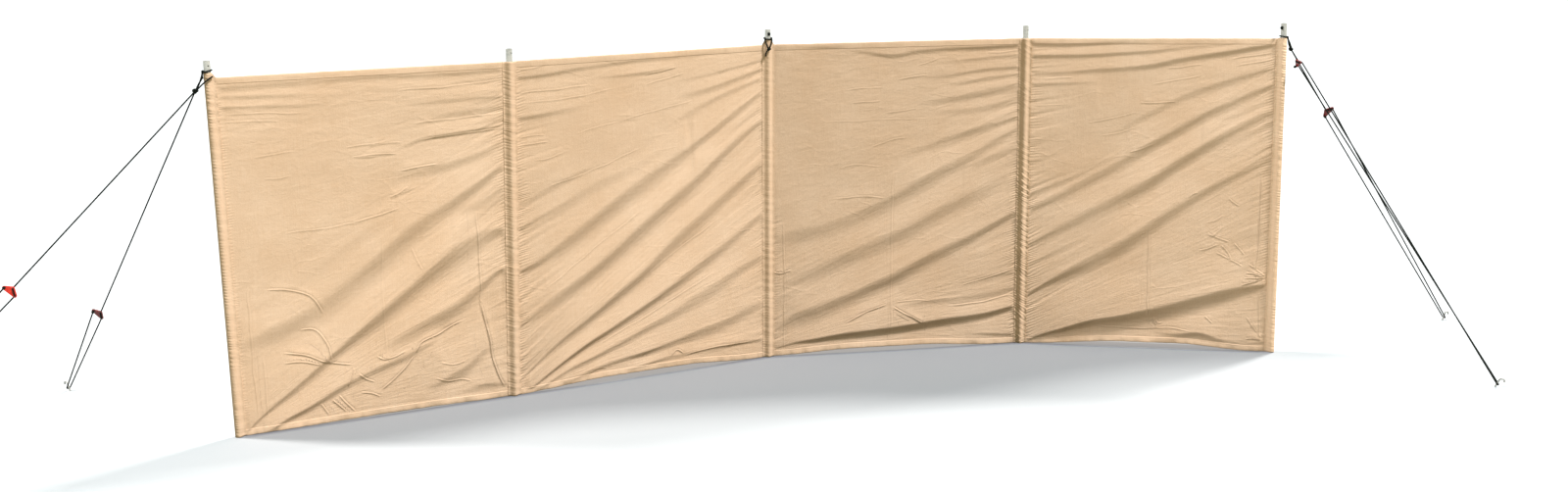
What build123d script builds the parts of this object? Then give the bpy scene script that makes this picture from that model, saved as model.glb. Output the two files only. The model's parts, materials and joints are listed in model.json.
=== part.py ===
from build123d import *
import math
import os

# Beach windbreak: four bays of canvas sewn to five sleeves on steel poles, with two guy ropes,
# a runner and a ground peg at each side of both end poles.
# +Z is up and the ground is at z = 0. The origin is the foot of the middle pole, +X runs from the
# left end pole's foot towards the right end pole's foot, and the sheltered side faces -Y.
# Lengths are in millimetres and angles in degrees.

# ---- layout on the ground ----
canvas_height = 1200.0
bay_spans = (950.0, 1015.0, 1005.0, 960.0)     # foot to foot, left to right
bay_turns = (0.5, -17.5, -19.0)                # change of heading at each inner pole
pole_leans = ((0.0, 0.0), (34.0, -34.0), (13.0, 0.0), (-5.0, -7.0), (8.0, 50.0))   # at canvas_height

# ---- poles ----
pole_diameter = 22.0
pole_wall = 1.5
tip_heights = (55.0, 44.0, 56.0, 47.0, 56.0)   # how far each pole stands above the canvas
foot_plug_height = 20.0                        # closed end of the tube at ground level
cross_hole_diameter = 5.8
cross_hole_drop = 16.0                         # from the tip to the middle of the hole
cross_hole_bearings = (-60.0, -45.0, -88.0, -60.0, -148.0)   # from +X, seen from above

# ---- canvas ----
panel_thickness = 2.4
facet_columns = 24                             # flat facets that make up a panel's folds
facet_rows = 24
fold_break = 20.0                              # distance over which the cloth falls back at a fold
fold_reach = 75.0                              # distance over which it recovers on each side
fold_fade = 0.12                               # share of a fold's length over which each end fades
sleeve_rises = (18.0, 0.0, 20.0, 0.0, 3.0)     # how far each sleeve is drawn up past the top hem
sleeve_wall = 1.5
sleeve_clearance = 0.3                         # between the pole and its sleeve
seam_reach = 24.0                              # from the pole's axis to the edge of the sleeve's seam
seam_thickness = 3.2
pocket_shoulder = 12.0                         # from the sleeve's seam edge in to its hollow
hem_width = 22.0
hem_thickness = 3.6
seam_gap = 0.4                                 # between pieces of canvas that are sewn together

# ---- ropes ----
rope_diameter = 5.0
rope_clearance = 0.3                           # to the pole, a peg, a knot or a runner
band_rise = 4.0                                # from the sleeve's top to the rope round the pole
band_spread = 35.0                             # angle from the band's middle to where a strand leaves
end_knot_diameter = 20.0
middle_knot_diameter = 14.0
middle_knot_drop = 14.0                        # below the canvas's top edge
middle_knot_bearing = -90.0                    # from +X, seen from above
tip_stopper_diameter = 13.0                    # knot that holds a rope's end in the cross hole
tip_stopper_poles = ("middle", "right_end")
end_knots = {                                  # out from the pole's axis, its bearing, and down
    "left": (44.0, 166.5, 41.5),
    "right": (29.0, -13.0, 39.5),
}
stopper_diameter = 11.0                        # knot that ends a guy rope behind its runner
stopper_stand = 3.0                            # from the runner's back rope line to the stopper

# ---- runners and pegs ----
runner_thickness = 5.0
runner_hole_clearance = 0.35
runner_hole_spacing = 40.0                     # between the two holes of the base
runner_hole_rise = 14.0                        # from the base holes to the hole at the tip
runner_rim = 6.0                               # round each hole's centre
runner_edge_radius = 0.9
runner_bend_radius = 3.1                       # of the rope where it enters a hole
peg_diameter = 6.0
peg_lean = 25.0                                # from upright, away from the pole
peg_rope_height = 14.0                         # where the rope goes round the peg
peg_hook_rise = 20.0                           # from the rope to the top of the hook
peg_hook_reach = 15.0
peg_hook_drop = 11.0
peg_bend_radius = 5.0

# The main tension folds of each bay, left to right. The cloth falls back along a line that starts at
# the first point, bends towards the second and ends at the third, by the depth that comes last.
# A point is a share of the way along the bay and a share of the way up it.
main_folds = (
    (
        ((0.02, 0.01), (0.45, 0.23), (0.97, 0.53), 11.0),
        ((0.12, 0.01), (0.50, 0.13), (0.97, 0.40), 9.0),
        ((0.05, 0.27), (0.50, 0.46), (0.97, 0.71), 7.0),
    ),
    (
        ((0.02, 0.37), (0.40, 0.52), (0.97, 0.88), 8.0),
        ((0.02, 0.20), (0.45, 0.40), (0.97, 0.78), 10.0),
        ((0.03, 0.04), (0.40, 0.24), (0.97, 0.65), 10.0),
        ((0.08, 0.02), (0.50, 0.18), (0.97, 0.47), 10.0),
    ),
    (
        ((0.06, 0.35), (0.50, 0.48), (0.97, 0.71), 9.0),
        ((0.06, 0.24), (0.50, 0.36), (0.97, 0.55), 6.0),
        ((0.05, 0.08), (0.45, 0.18), (0.97, 0.44), 10.0),
        ((0.04, 0.03), (0.55, 0.02), (0.97, 0.13), 9.0),
    ),
    (
        ((0.05, 0.48), (0.50, 0.62), (0.97, 0.89), 8.0),
        ((0.03, 0.37), (0.50, 0.50), (0.97, 0.81), 8.0),
        ((0.03, 0.15), (0.45, 0.33), (0.97, 0.64), 9.0),
        ((0.05, 0.02), (0.50, 0.10), (0.97, 0.22), 12.0),
    ),
)

# Each guy: its end of the windbreak, where its peg is from the pole's foot, how far down the rope
# its runner sits from the knot, how the runner is turned about the rope, and how far it is skewed
# in its own plane.
guys = {
    "left_front": ("left", (-1181.0, -270.0), 821.0, -80.0, 0.0),
    "left_back": ("left", (-651.0, 692.0), 1051.0, -135.0, 30.0),
    "right_back": ("right", (915.0, 229.0), 306.0, 122.0, -20.0),
    "right_front": ("right", (548.0, -610.0), 50.0, 134.0, 0.0),
}

pole_names = ("left_end", "left_inner", "middle", "right_inner", "right_end")
bay_names = ("left_end", "left_inner", "right_inner", "right_end")
pole_of_end = {"left": 0, "right": len(pole_names) - 1}
middle = pole_names.index("middle")

pole_radius = pole_diameter / 2
rope_radius = rope_diameter / 2
peg_radius = peg_diameter / 2


def turned(angle):
    """Unit vector in the ground plane at a bearing from +X."""
    return Vector(math.cos(math.radians(angle)), math.sin(math.radians(angle)), 0)


def pole_feet():
    """Feet of the poles, with the chord between the end poles along +X."""
    feet = [Vector(0, 0, 0)]
    heading = 0.0
    for span, turn in zip(bay_spans, (0.0,) + bay_turns):
        heading += turn
        feet.append(feet[-1] + turned(heading) * span)
    chord = feet[-1] - feet[0]
    square_up = -math.degrees(math.atan2(chord.Y, chord.X))
    feet = [foot.rotate(Axis.Z, square_up) for foot in feet]
    return [foot - feet[middle] for foot in feet]


feet = pole_feet()


def axis_point(pole, z):
    """Point at height z on a pole's leaning axis."""
    lean_x, lean_y = pole_leans[pole]
    share = z / canvas_height
    return feet[pole] + Vector(lean_x * share, lean_y * share, z)


def towards(pole, other, z):
    """Level unit vector from one pole's axis to another's at height z."""
    return (axis_point(other, z) - axis_point(pole, z)).normalized()


def canvas_point(bay, share, z, inset):
    """Point of a bay's middle surface, a share of the way between its seams at height z."""
    inward = towards(bay, bay + 1, z) * inset
    start = axis_point(bay, z) + inward
    end = axis_point(bay + 1, z) - inward
    return start + (end - start) * share


def level_strip(start, end, thickness):
    """Outline of a strip of canvas, seen from above, between two points of its middle line."""
    side = Vector(0, 0, 1).cross(end - start).normalized() * (thickness / 2)
    return Wire.make_polygon([start - side, end - side, end + side, start + side], close=True)


def hem_solid(bay, low, high):
    """Straight hem from the seam on one pole to the seam on the next."""
    inset = seam_reach + seam_gap
    lower = [canvas_point(bay, share, low, inset) for share in (0, 1)]
    upper = [canvas_point(bay, share, high, inset) for share in (0, 1)]
    rise = (upper[0] + upper[1] - lower[0] - lower[1]) * 0.5
    middle_start = (lower[0] + upper[0] - rise) * 0.5
    middle_end = (lower[1] + upper[1] - rise) * 0.5
    return Solid.extrude(Face(level_strip(middle_start, middle_end, hem_thickness)), rise)


def flat_face(*corners):
    return Face(Wire.make_polygon(corners, close=True))


def fold_points(bay, fold):
    """Points along one fold's line, in millimetres along the bay and up it."""
    steps = 12
    start, bend, end = [Vector(x * bay_spans[bay], y * canvas_height) for x, y in fold[:3]]
    shares = [step / steps for step in range(steps + 1)]
    return [start * (1 - u) ** 2 + bend * (2 * u * (1 - u)) + end * u ** 2 for u in shares]


def fold_depth(line, depth, point):
    """How far one fold pushes a point of the cloth out; above its line it stands proud."""
    nearest = None
    for step, (a, b) in enumerate(zip(line, line[1:])):
        run = b - a
        along = min(1.0, max(0.0, (point - a).dot(run) / run.dot(run)))
        away = point - (a + run * along)
        if nearest is None or away.length < nearest[0]:
            above = run.X * away.Y - run.Y * away.X
            nearest = (away.length, math.copysign(1, above), (step + along) / (len(line) - 1))
    distance, above, along = nearest
    fade = min(1.0, along / fold_fade, (1 - along) / fold_fade)
    step_back = above * math.tanh(distance / fold_break)
    return depth * fade * step_back * math.exp(-(distance / fold_reach) ** 2)


def panel_relief(bay):
    """Relief of a bay's cloth at each facet corner, by row; nothing at its seams and hems."""
    lines = [(fold_points(bay, fold), fold[3]) for fold in main_folds[bay]]
    rows = []
    for row in range(facet_rows + 1):
        relief = []
        for column in range(facet_columns + 1):
            across, up = column / facet_columns, row / facet_rows
            point = Vector(across * bay_spans[bay], up * canvas_height)
            at_edge = column in (0, facet_columns) or row in (0, facet_rows)
            relief.append(0 if at_edge else sum(fold_depth(*line, point) for line in lines))
        rows.append(relief)
    return rows


def panel_solid(bay):
    """Canvas of one bay between its hems, as flat facets that follow its twist and main folds."""
    inset = seam_reach + seam_gap
    low = hem_width + seam_gap
    high = canvas_height - hem_width - seam_gap
    rows = []
    for row in range(facet_rows + 1):
        z = low + (high - low) * row / facet_rows
        rows.append([canvas_point(bay, column / facet_columns, z, inset)
                     for column in range(facet_columns + 1)])
    middle_line = rows[facet_rows // 2]
    side = Vector(0, 0, 1).cross(middle_line[-1] - middle_line[0]).normalized()
    through = side * panel_thickness
    rows = [[point - through * 0.5 - side * out for point, out in zip(row, relief)]
            for row, relief in zip(rows, panel_relief(bay))]
    faces = []
    for lower, upper in zip(rows, rows[1:]):
        for a, b, c, d in zip(lower, lower[1:], upper[1:], upper):
            faces += [flat_face(a, b, c), flat_face(a, c, d)]
            faces += [flat_face(a + through, c + through, b + through)]
            faces += [flat_face(a + through, d + through, c + through)]
    rim = rows[0][:-1] + [row[-1] for row in rows[:-1]]
    rim += rows[-1][:0:-1] + [row[0] for row in rows[:0:-1]]
    for a, b in zip(rim, rim[1:] + rim[:1]):
        faces.append(flat_face(a, a + through, b + through, b))
    return Solid(Shell(faces))


def leaning_rod(pole, radius, low, high):
    """Round rod that follows a pole's axis from one height to another."""
    base = Face(Wire.make_circle(radius, Plane(axis_point(pole, low))))
    return Solid.extrude(base, axis_point(pole, high) - axis_point(pole, low))


def tip_height(pole):
    return canvas_height + tip_heights[pole]


def sleeve_top(pole):
    return canvas_height + sleeve_rises[pole]


def pole_solid(pole):
    """Steel tube, closed at the ground, open at the tip, with a hole drilled across near the tip."""
    tip = tip_height(pole)
    tube = leaning_rod(pole, pole_radius, 0, tip)
    bore = leaning_rod(pole, pole_radius - pole_wall, foot_plug_height, tip)
    hole_centre = axis_point(pole, tip - cross_hole_drop)
    across = Plane(hole_centre, z_dir=turned(cross_hole_bearings[pole]))
    hole = across * Cylinder(cross_hole_diameter / 2, pole_diameter * 2)
    return (tube - bore - hole).solid()


def pocket_outline(pole, round_radius, reach, thickness):
    """Outline of a sleeve seen from above: round the pole, drawn out to a seam beside each bay."""
    z = canvas_height / 2
    shape = Sketch() + Circle(round_radius)
    for other in (pole - 1, pole + 1):
        if 0 <= other < len(pole_names):
            along = towards(pole, other, z)
            end = Plane((0, 0, 0), x_dir=along, z_dir=(0, 0, 1))
            shape += end * Pos(reach - thickness / 2, 0) * Rectangle(thickness, thickness)
    return make_hull(shape.edges())


def leaning_prism(pole, outline, low, high):
    """Outline carried up a pole's leaning axis from one height to another."""
    base = (Pos(axis_point(pole, low)) * outline).face()
    return Solid.extrude(base, axis_point(pole, high) - axis_point(pole, low))


def sleeve_solid(pole):
    """Canvas pocket round a pole, tapering to the seam beside each bay that it joins."""
    inner = pole_radius + sleeve_clearance
    outline = pocket_outline(pole, inner + sleeve_wall, seam_reach, seam_thickness)
    hollow = pocket_outline(pole, inner, seam_reach - pocket_shoulder, sleeve_clearance)
    top = sleeve_top(pole)
    return (leaning_prism(pole, outline, 0, top) - leaning_prism(pole, hollow, 0, top)).solid()


def rod_between(start, end, radius):
    """Straight round rod between two points."""
    base = Face(Wire.make_circle(radius, Plane(start, z_dir=end - start)))
    return Solid.extrude(base, end - start)


def tie_solid(pole, knot, knot_radius):
    """Band of rope round a pole above its sleeve, with two strands that run together to the knot."""
    centre = axis_point(pole, sleeve_top(pole) + band_rise)
    band_radius = pole_radius + rope_clearance + rope_radius
    band = Plane(centre) * Torus(band_radius, rope_radius)
    level = Vector(knot.X - centre.X, knot.Y - centre.Y, 0)
    bearing = math.degrees(math.atan2(level.Y, level.X))
    for side in (-1, 1):
        start = centre + turned(bearing + side * band_spread) * (band_radius + rope_radius)
        run = knot - start
        end = knot - run.normalized() * (knot_radius + rope_clearance)
        band = band + rod_between(start, end, rope_radius)
    return band.solid()


def end_knot_centre(end):
    pole = pole_of_end[end]
    reach, bearing, drop = end_knots[end]
    return axis_point(pole, canvas_height - drop) + turned(bearing) * reach


def middle_knot_centre():
    out = pole_radius + sleeve_clearance + sleeve_wall + rope_clearance + middle_knot_diameter / 2
    height = canvas_height - middle_knot_drop
    return axis_point(middle, height) + turned(middle_knot_bearing) * out


def knot_solid(centre, diameter):
    return (Pos(centre) * Sphere(diameter / 2)).solid()


def tip_stopper(pole):
    """Rope's end pushed through the cross hole, with a knot outside it."""
    centre = axis_point(pole, tip_height(pole) - cross_hole_drop)
    out = turned(cross_hole_bearings[pole])
    inner_end = centre + out * (pole_radius - pole_wall * 2)
    knot = centre + out * (pole_radius + rope_clearance + tip_stopper_diameter / 2)
    stub = rod_between(inner_end, knot, rope_radius)
    return (stub + Pos(knot) * Sphere(tip_stopper_diameter / 2)).solid()


class Guy:
    """Places along one guy rope, from its knot to its peg."""

    def __init__(self, end, peg_offset, runner_distance, runner_turn, runner_skew):
        self.knot = end_knot_centre(end)
        foot = feet[pole_of_end[end]]
        self.peg = foot + Vector(peg_offset[0], peg_offset[1], peg_rope_height)
        self.run = (self.peg - self.knot).normalized()
        self.outward = Vector(self.run.X, self.run.Y, 0).normalized()
        self.across = Vector(0, 0, 1).cross(self.run).normalized()
        width = self.across.rotate(Axis((0, 0, 0), self.run), runner_turn)
        tip = self.knot + self.run * runner_distance
        # local x across the runner, y down the rope, z out of the face that the rope comes in on
        face = width.cross(self.run)
        width = width.rotate(Axis((0, 0, 0), face), runner_skew)
        self.runner = Plane(tip, x_dir=width, z_dir=face)

    def at(self, x, y, z):
        return self.runner.from_local_coords(Vector(x, y, z))


rope_stand = runner_thickness / 2 + rope_clearance + rope_radius    # rope's middle from the plate's
half_spacing = runner_hole_spacing / 2


def runner_solid(guy):
    """Triangular plate with a hole in each corner, lying just behind the rope."""
    centres = (Pos(0, 0), Pos(half_spacing, runner_hole_rise), Pos(-half_spacing, runner_hole_rise))
    rims = Sketch() + [centre * Circle(runner_rim) for centre in centres]
    plate = extrude(make_hull(rims.edges()), runner_thickness / 2, both=True)
    plate = fillet(plate.edges(), runner_edge_radius)
    for centre in centres:
        plate -= centre * Cylinder(rope_radius + runner_hole_clearance, runner_thickness * 2)
    return (guy.runner * Pos(0, 0, -rope_stand) * plate).solid()


def rope_solid(guy):
    """One rope: knot, tip hole, first base hole, round the peg, second base hole, stopper knot."""
    clear_of_peg = peg_radius + rope_clearance + rope_radius
    turn_radius = clear_of_peg / math.cos(math.radians(peg_tilt(guy)))
    back = -2 * rope_stand
    end_of_knot = guy.knot + guy.run * (end_knot_diameter / 2 + rope_clearance)
    stopper = guy.at(-half_spacing, runner_hole_rise, back - stopper_stand)
    corner_out = guy.peg + guy.run * turn_radius
    side = guy.across * turn_radius
    if guy.runner.x_dir.dot(guy.across) < 0:
        side = side * -1
    points = [
        end_of_knot,
        guy.at(0, 0, 0),
        guy.at(0, 0, back),
        guy.at(half_spacing, runner_hole_rise, back),
        guy.at(half_spacing, runner_hole_rise, 0),
        corner_out + side,
        corner_out - side,
        guy.at(-half_spacing, runner_hole_rise, 0),
        stopper,
    ]
    bends = [runner_bend_radius] * 4 + [turn_radius * 0.97] * 2 + [runner_bend_radius]
    path = FilletPolyline(*points, radius=bends)
    section = Plane(path @ 0, z_dir=path % 0) * Circle(rope_radius)
    rope = sweep(section, path)
    return (rope + Pos(stopper) * Sphere(stopper_diameter / 2)).solid()


def peg_direction(guy):
    lean = math.radians(peg_lean)
    return guy.outward * math.sin(lean) + Vector(0, 0, math.cos(lean))


def peg_tilt(guy):
    """Angle between the peg's stem and a line square to the rope's loop."""
    square = guy.run.cross(guy.across)
    angle = square.get_angle(peg_direction(guy))
    return min(angle, 180 - angle)


def peg_solid(guy):
    """Round wire hook peg, from the ground up."""
    stem = peg_direction(guy)
    below_ground = guy.peg - stem * (2 * peg_rope_height / stem.Z)
    top = guy.peg + stem * peg_hook_rise
    reach = guy.outward * peg_hook_reach
    drop = Vector(0, 0, -peg_hook_drop)
    path = FilletPolyline(below_ground, top, top + reach, top + reach + drop, radius=peg_bend_radius)
    section = Plane(path @ 0, z_dir=path % 0) * Circle(peg_radius)
    return split(sweep(section, path), Plane.XY, keep=Keep.TOP).solid()


def build():
    nodes = {}
    for pole, name in enumerate(pole_names):
        nodes[name + "_pole"] = pole_solid(pole)
        nodes[name + "_sleeve"] = sleeve_solid(pole)
    for bay, name in enumerate(bay_names):
        nodes[name + "_panel"] = panel_solid(bay)
        nodes[name + "_bottom_hem"] = hem_solid(bay, 0, hem_width)
        nodes[name + "_top_hem"] = hem_solid(bay, canvas_height - hem_width, canvas_height)
    for end, pole in pole_of_end.items():
        knot = end_knot_centre(end)
        nodes[end + "_guy_knot"] = knot_solid(knot, end_knot_diameter)
        nodes[end + "_tip_tie"] = tie_solid(pole, knot, end_knot_diameter / 2)
    nodes["middle_knot"] = knot_solid(middle_knot_centre(), middle_knot_diameter)
    nodes["middle_tip_tie"] = tie_solid(middle, middle_knot_centre(), middle_knot_diameter / 2)
    for name in tip_stopper_poles:
        nodes[name + "_tip_stopper"] = tip_stopper(pole_names.index(name))
    for name, values in guys.items():
        guy = Guy(*values)
        nodes[name + "_guy_rope"] = rope_solid(guy)
        nodes[name + "_runner"] = runner_solid(guy)
        nodes[name + "_peg"] = peg_solid(guy)
    return nodes


os.makedirs("parts", exist_ok=True)
for node, solid in build().items():
    export_step(solid, "parts/" + node + ".step")
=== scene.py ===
import json
import math

import bpy
import numpy as np
from mathutils import Matrix, Vector


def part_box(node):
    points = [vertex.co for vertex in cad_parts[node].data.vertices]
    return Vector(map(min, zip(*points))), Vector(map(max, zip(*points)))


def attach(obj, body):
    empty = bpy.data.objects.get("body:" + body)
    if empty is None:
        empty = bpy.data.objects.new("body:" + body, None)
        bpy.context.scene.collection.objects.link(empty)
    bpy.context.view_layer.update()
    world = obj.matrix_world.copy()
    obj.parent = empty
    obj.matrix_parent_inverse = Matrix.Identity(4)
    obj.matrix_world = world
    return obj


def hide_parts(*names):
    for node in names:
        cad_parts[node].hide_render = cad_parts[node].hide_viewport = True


# Beach windbreak: four bays of sand-coloured cotton canvas sewn to sleeves on five steel poles,
# with rope ties at the tips and two guy ropes, each with a runner and a peg, at both end poles.
# Lengths are in metres. A place on the cloth is (along, up): the share of the way from one pole's
# axis to the next, and the share of the canvas height.

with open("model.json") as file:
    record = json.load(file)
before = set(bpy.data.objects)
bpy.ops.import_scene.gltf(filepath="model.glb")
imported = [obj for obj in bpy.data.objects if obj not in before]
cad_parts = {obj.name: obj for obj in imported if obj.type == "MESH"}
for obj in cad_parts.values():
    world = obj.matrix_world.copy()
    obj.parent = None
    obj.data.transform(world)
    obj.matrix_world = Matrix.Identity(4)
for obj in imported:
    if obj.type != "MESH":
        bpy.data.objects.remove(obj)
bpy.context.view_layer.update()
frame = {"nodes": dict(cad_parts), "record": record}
record = frame["record"]
nodes = frame["nodes"]

POLES = ("left_end", "left_inner", "middle", "right_inner", "right_end")
BAYS = ("left_end", "left_inner", "right_inner", "right_end")

# ---- sizes that the frame gives ----
mounts = {mount["name"]: Vector(mount["pos_m"]) for mount in record["mounts"]}
FEET = [mounts[name + "_pole_foot"] for name in POLES]


def tip_of(index):
    """Centre of a pole's tip; its box spans the leaning tube from foot to tip."""
    low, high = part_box(POLES[index] + "_pole")
    foot = FEET[index]
    return Vector((low.x + high.x - foot.x, low.y + high.y - foot.y, high.z))


TIPS = [tip_of(index) for index in range(len(POLES))]
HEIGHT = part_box("left_end_top_hem")[1].z
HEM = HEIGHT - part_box("left_end_top_hem")[0].z
SLEEVE_TOPS = [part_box(name + "_sleeve")[1].z for name in POLES]

# ---- sizes of the sewn cloth and the fittings ----
POLE_RADIUS = 0.011
SLEEVE_RADIUS = 0.0128        # outside of the sleeve over the pole
SEAM_REACH = 0.024            # pole's axis to the seam beside it
SEAM_HALF = 0.0016            # half the thickness of the cloth at the seam
SEAM_TUCK = 0.004             # how far the panels and hems run in under the sleeves
BULGE_REACH = 0.0195          # pole's axis to where the sleeve lies flat
CLOTH = 0.0012                # thickness of a panel
HEM_CLOTH = 0.0028            # thickness of a folded hem
GROUND_GAP = 0.0004           # lowest that any cloth reaches
ROPE_RADIUS = 0.0025


# ============================================================ places on the cloth

def axis_at(index, z):
    """Points on a pole's axis at heights z, an array."""
    foot, tip = np.array(FEET[index]), np.array(TIPS[index])
    share = np.asarray(z, float)[..., None] / tip[2]
    return foot + (tip - foot) * share


def bay_front(bay):
    """Level unit vector out of a bay's sheltered face."""
    run = axis_at(bay + 1, HEIGHT / 2) - axis_at(bay, HEIGHT / 2)
    run /= np.linalg.norm(run)
    return np.array((run[1], -run[0], 0.0))


def cloth_at(bay, along, height):
    """Points on a bay's flat cloth; along is a share of the bay and height is in metres."""
    start = axis_at(bay, height)
    end = axis_at(bay + 1, height)
    return start + (end - start) * np.asarray(along, float)[..., None]


def unit(vectors):
    """An array of vectors, each scaled to length 1."""
    return vectors / np.linalg.norm(vectors, axis=-1)[..., None]


def bay_width(bay):
    return (FEET[bay + 1] - FEET[bay]).length


def smooth(low, high, x):
    """Smooth step from 0 at low to 1 at high."""
    share = np.clip((np.asarray(x, float) - low) / (high - low), 0, 1)
    return share * share * (3 - 2 * share)


def wander(seed, step):
    """Smooth random curve between -1 and 1 that turns about once in each step; the seed picks it."""
    knots = np.random.RandomState(seed).uniform(-1, 1, 4096)

    def curve(x):
        place = np.asarray(x, float) / step + 1024.0
        index = np.floor(place).astype(int)
        share = place - index
        share = share * share * (3 - 2 * share)
        return knots[index % 4096] * (1 - share) + knots[(index + 1) % 4096] * share

    return curve


def patches(seed, step_x, step_y):
    """Smooth random field between -1 and 1 with cells of step_x by step_y."""
    knots = np.random.RandomState(seed).uniform(-1, 1, (256, 256))

    def field(x, y):
        px, py = np.asarray(x) / step_x + 64.0, np.asarray(y) / step_y + 64.0
        ix, iy = np.floor(px).astype(int), np.floor(py).astype(int)
        fx, fy = px - ix, py - iy
        fx, fy = fx * fx * (3 - 2 * fx), fy * fy * (3 - 2 * fy)
        a, b = knots[ix % 256, iy % 256], knots[(ix + 1) % 256, iy % 256]
        c, d = knots[ix % 256, (iy + 1) % 256], knots[(ix + 1) % 256, (iy + 1) % 256]
        return (a * (1 - fx) + b * fx) * (1 - fy) + (c * (1 - fx) + d * fx) * fy

    return field


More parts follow.
